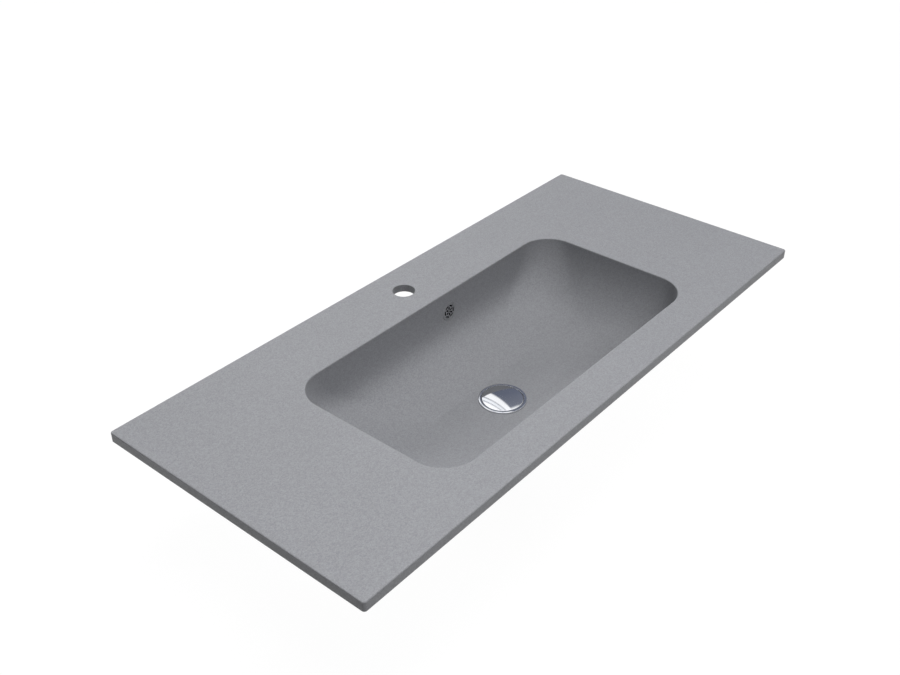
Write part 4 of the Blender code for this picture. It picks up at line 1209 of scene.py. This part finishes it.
# %% Finishes of the inner pieces
inner_finishes = {
    rubber: ["overflow_seal", "flange_gasket", "plug_seal", "barrel_washer"],
    white_plastic: ["cartridge_barrel", "cartridge_end_cap", "cartridge_rotor"],
    grey_plastic: ["cartridge_plunger"],
    steel: ["cartridge_spring"],
    brass: ["plug_stem", "stem_lock_nut"],
}
for finish, names in inner_finishes.items():
    for name in names:
        nodes[name].data.materials.clear()
        nodes[name].data.materials.append(finish)
print("inner pieces finished:", sum(len(names) for names in inner_finishes.values()))

# %% [markdown]
# ## Floor, backdrop and light
# The basin stands in a bright white studio on a plain pale floor. The camera sees that white all round,
# and what shines sees it on the floor. The light that falls on the basin itself stays at a plain level.
# One helper tells the kinds of rays apart, for floor and sky, and the other lays colours in a row, for the
# room.

# %% Telling rays apart
def ray_is(tree, kinds):
    """One for a ray of any of the named kinds, else zero."""
    path = tree.nodes.new("ShaderNodeLightPath")
    answer = path.outputs[kinds[0]]
    for kind in kinds[1:]:
        answer = calculate(tree, "MAXIMUM", answer, path.outputs[kind])
    return answer


def add_ramp(tree, value, stops):
    """A row of colours, each at its place from 0 to 1, joined by straight blends."""
    node = add_node(tree, "ShaderNodeValToRGB", {"Fac": value})
    for place, colour in stops:
        element = node.color_ramp.elements.new(place)
        element.color = (*colour, 1)
    node.color_ramp.elements.remove(node.color_ramp.elements[0])
    node.color_ramp.elements.remove(node.color_ramp.elements[-1])
    return node.outputs["Color"]


print("rays that see a white floor: camera, glossy and transmission")

# %% [markdown]
# The floor is one large square just under the waste. To the camera it is almost wholly its own white,
# with a little of the plain pale paint mixed in, and that part keeps the basin's soft shadow. To the light
# that bounces it is a mid grey, so that it doesn't light the underside as a white floor would.

# %% Floor
floor_level = float(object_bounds()[0].z) - 0.0002
floor_reach, floor_glow, floor_white = 8.0, 1.05, 0.92
floor_mesh = bpy.data.meshes.new("studio_floor")
floor_plan = np.array([(-1, -1, 0), (1, -1, 0), (1, 1, 0), (-1, 1, 0)]) * floor_reach
floor_mesh.from_pydata((floor_plan + [0, 0, floor_level]).tolist(), [], [(0, 1, 2, 3)])
floor = add_object("studio_floor", floor_mesh)


def make_floor_finish():
    """Pale floor: white where the camera or a shiny surface sees it, with the object's soft shadow."""
    finish = bpy.data.materials.new("pale_floor")
    finish.use_nodes = True
    tree = finish.node_tree
    tree.nodes.clear()
    out = tree.nodes.new("ShaderNodeOutputMaterial")
    seen = ray_is(tree, ["Is Camera Ray", "Is Glossy Ray", "Is Transmission Ray"])
    white = add_node(tree, "ShaderNodeEmission", {"Color": (1, 1, 1, 1), "Strength": floor_glow})
    pale = add_node(tree, "ShaderNodeBsdfDiffuse", {"Color": (0.80, 0.80, 0.80, 1)})
    grey = add_node(tree, "ShaderNodeBsdfDiffuse", {"Color": (0.35, 0.35, 0.35, 1)})
    lit = add_node(tree, "ShaderNodeMixShader", {0: floor_white, 1: pale.outputs[0], 2: white.outputs[0]})
    both = add_node(tree, "ShaderNodeMixShader", {0: seen, 1: grey.outputs[0], 2: lit.outputs[0]})
    tree.links.new(both.outputs[0], out.inputs["Surface"])
    return finish


floor_mesh.materials.append(make_floor_finish())
print("floor at", round(floor_level, 4))

# %% [markdown]
# What shines mirrors the room. Towards the front its ceiling is plain white. Behind that hangs a white
# panel in three strips with thin grey gaps, and to the right of it is a blue-grey room, slightly lighter
# next to the white. A slow noise makes both a little uneven. A direction (x, y, z) meets the ceiling at
# (x / z, y / z). The gaps and the panel's right edge all run towards one far point of the ceiling, so the
# angle round that point tells the strips apart.

# %% The room that the chrome mirrors
panel_white, panel_soft = (1.12, 1.12, 1.13), (1.00, 1.02, 1.05)
gap_grey, room_blue = (0.30, 0.32, 0.37), (0.135, 0.150, 0.200)
white_until, white_blur = 0.41, 0.03
glow_share, glow_reach = 0.06, 0.5
least_up = 0.03
far_x, far_y = 0.319, -0.251
strip_from, strip_to = 10.0, 40.0


def strip_stops():
    """The colours from the left strip to the room, at angles in degrees round the far point."""
    stops = [
        (10.5, panel_white), (20.7, panel_white), (21.7, gap_grey), (22.7, panel_soft), (24.7, panel_soft),
        (25.7, gap_grey), (26.9, panel_white), (31.7, panel_white), (33.0, room_blue), (39.5, room_blue),
    ]
    return [((angle - strip_from) / (strip_to - strip_from), colour) for angle, colour in stops]


def mirrored_room(tree):
    """The room's colour for a ray's direction."""
    way = tree.nodes.new("ShaderNodeTexCoord").outputs["Generated"]
    part = add_node(tree, "ShaderNodeSeparateXYZ", {"Vector": way})
    up = calculate(tree, "MAXIMUM", part.outputs["Z"], least_up)
    ceiling_x = calculate(tree, "DIVIDE", part.outputs["X"], up)
    ceiling_y = calculate(tree, "DIVIDE", part.outputs["Y"], up)
    from_x = calculate(tree, "SUBTRACT", ceiling_x, far_x)
    from_y = calculate(tree, "SUBTRACT", ceiling_y, far_y)
    angle = calculate(tree, "ARCTAN2", from_x, from_y)
    share = remap(tree, angle, 0.0, 1.0, math.radians(strip_from), math.radians(strip_to))
    strips = add_ramp(tree, share, strip_stops())
    tint = remap(tree, noise(tree, way, 2.2, 1.0), 0.88, 1.12)
    strips = shaded(tree, strips, tint)
    plain = remap(tree, ceiling_y, 1.0, 0.0, white_until - white_blur, white_until + white_blur)
    glow = remap(tree, ceiling_y, glow_share, 0.0, white_until, white_until + glow_reach)
    whiter = calculate(tree, "MAXIMUM", plain, glow)
    room = add_node(tree, "ShaderNodeMix", data_type="RGBA")
    tree.links.new(whiter, room.inputs["Factor"])
    tree.links.new(strips, room.inputs["A"])
    room.inputs["B"].default_value = (*panel_white, 1)
    return room.outputs["Result"]


print("strips and gaps of the mirrored panel:", len(strip_stops()), "stops")

# %% [markdown]
# The sky is white to the camera and through clear things, shows the mirrored room to what shines, and
# gives the matt surfaces no light of its own: that comes from the lamps, which keeps the level plain.

# %% Sky
world = bpy.data.worlds.new("studio")
bpy.context.scene.world = world
world.use_nodes = True
sky = world.node_tree
sky.nodes.clear()
sky_out = sky.nodes.new("ShaderNodeOutputWorld")
white_sky = add_node(sky, "ShaderNodeBackground", {"Color": (1, 1, 1, 1), "Strength": 1.0})
no_light = add_node(sky, "ShaderNodeBackground", {"Color": (1, 1, 1, 1), "Strength": 0.0})
room_sky = add_node(sky, "ShaderNodeBackground", {"Color": mirrored_room(sky), "Strength": 1.0})
shiny = ray_is(sky, ["Is Glossy Ray"])
direct = ray_is(sky, ["Is Camera Ray", "Is Transmission Ray"])
lit_sky = add_node(sky, "ShaderNodeMixShader", {0: shiny, 1: no_light.outputs[0], 2: room_sky.outputs[0]})
seen_sky = add_node(sky, "ShaderNodeMixShader", {0: direct, 1: lit_sky.outputs[0], 2: white_sky.outputs[0]})
sky.links.new(seen_sky.outputs[0], sky_out.inputs["Surface"])
print("sky nodes:", len(sky.nodes))

# %% [markdown]
# Five soft lamps stand for the studio: a broad sun overhead, one from the high right, a strong low one
# from the back right that grazes the deck and leaves the bowl's walls in shade, a faint one from the front
# left, and a square panel in front. Their strengths come from a fit to the brightness of the deck and the
# bowl in the photograph. What shines doesn't see them: it mirrors the room.

# %% Suns and panel
suns = [
    ("overhead", 0, 90, 0.206),
    ("high_right", 0, 65, 0.275),
    ("low_back_right", 45, 16, 1.0),
    ("low_front_left", 225, 16, 0.04),
]
sun_disc = 30


def add_sun(name, compass, height, share):
    """A sun at a compass angle from +X towards +Y and a height above the horizon, in degrees.

    A share of 1 lights a matt surface that faces it so that its colour shows as it is written.
    """
    data = bpy.data.lights.new(name, "SUN")
    data.energy = math.pi * share
    data.angle = math.radians(sun_disc)
    lamp = add_object(name, data)
    lamp.rotation_euler = (0, math.radians(90 - height), math.radians(compass))
    lamp.visible_glossy = False


def add_panel(name, place, target, size, power):
    """A square lamp at a place, turned to face a target."""
    data = bpy.data.lights.new(name, "AREA")
    data.shape = "SQUARE"
    data.size = size
    data.energy = power
    lamp = add_object(name, data)
    lamp.location = place
    lamp.rotation_euler = (Vector(place) - Vector(target)).to_track_quat("Z", "Y").to_euler()
    lamp.visible_glossy = False
    lamp.visible_camera = False


for row in suns:
    add_sun(*row)
add_panel("front_panel", (-0.3, -1.2, 1.2), (0, -0.22, 0), 0.9, 7.6)
level = sum(share * math.sin(math.radians(height)) for _, _, height, share in suns)
print("suns' light on a level surface:", round(level, 3))
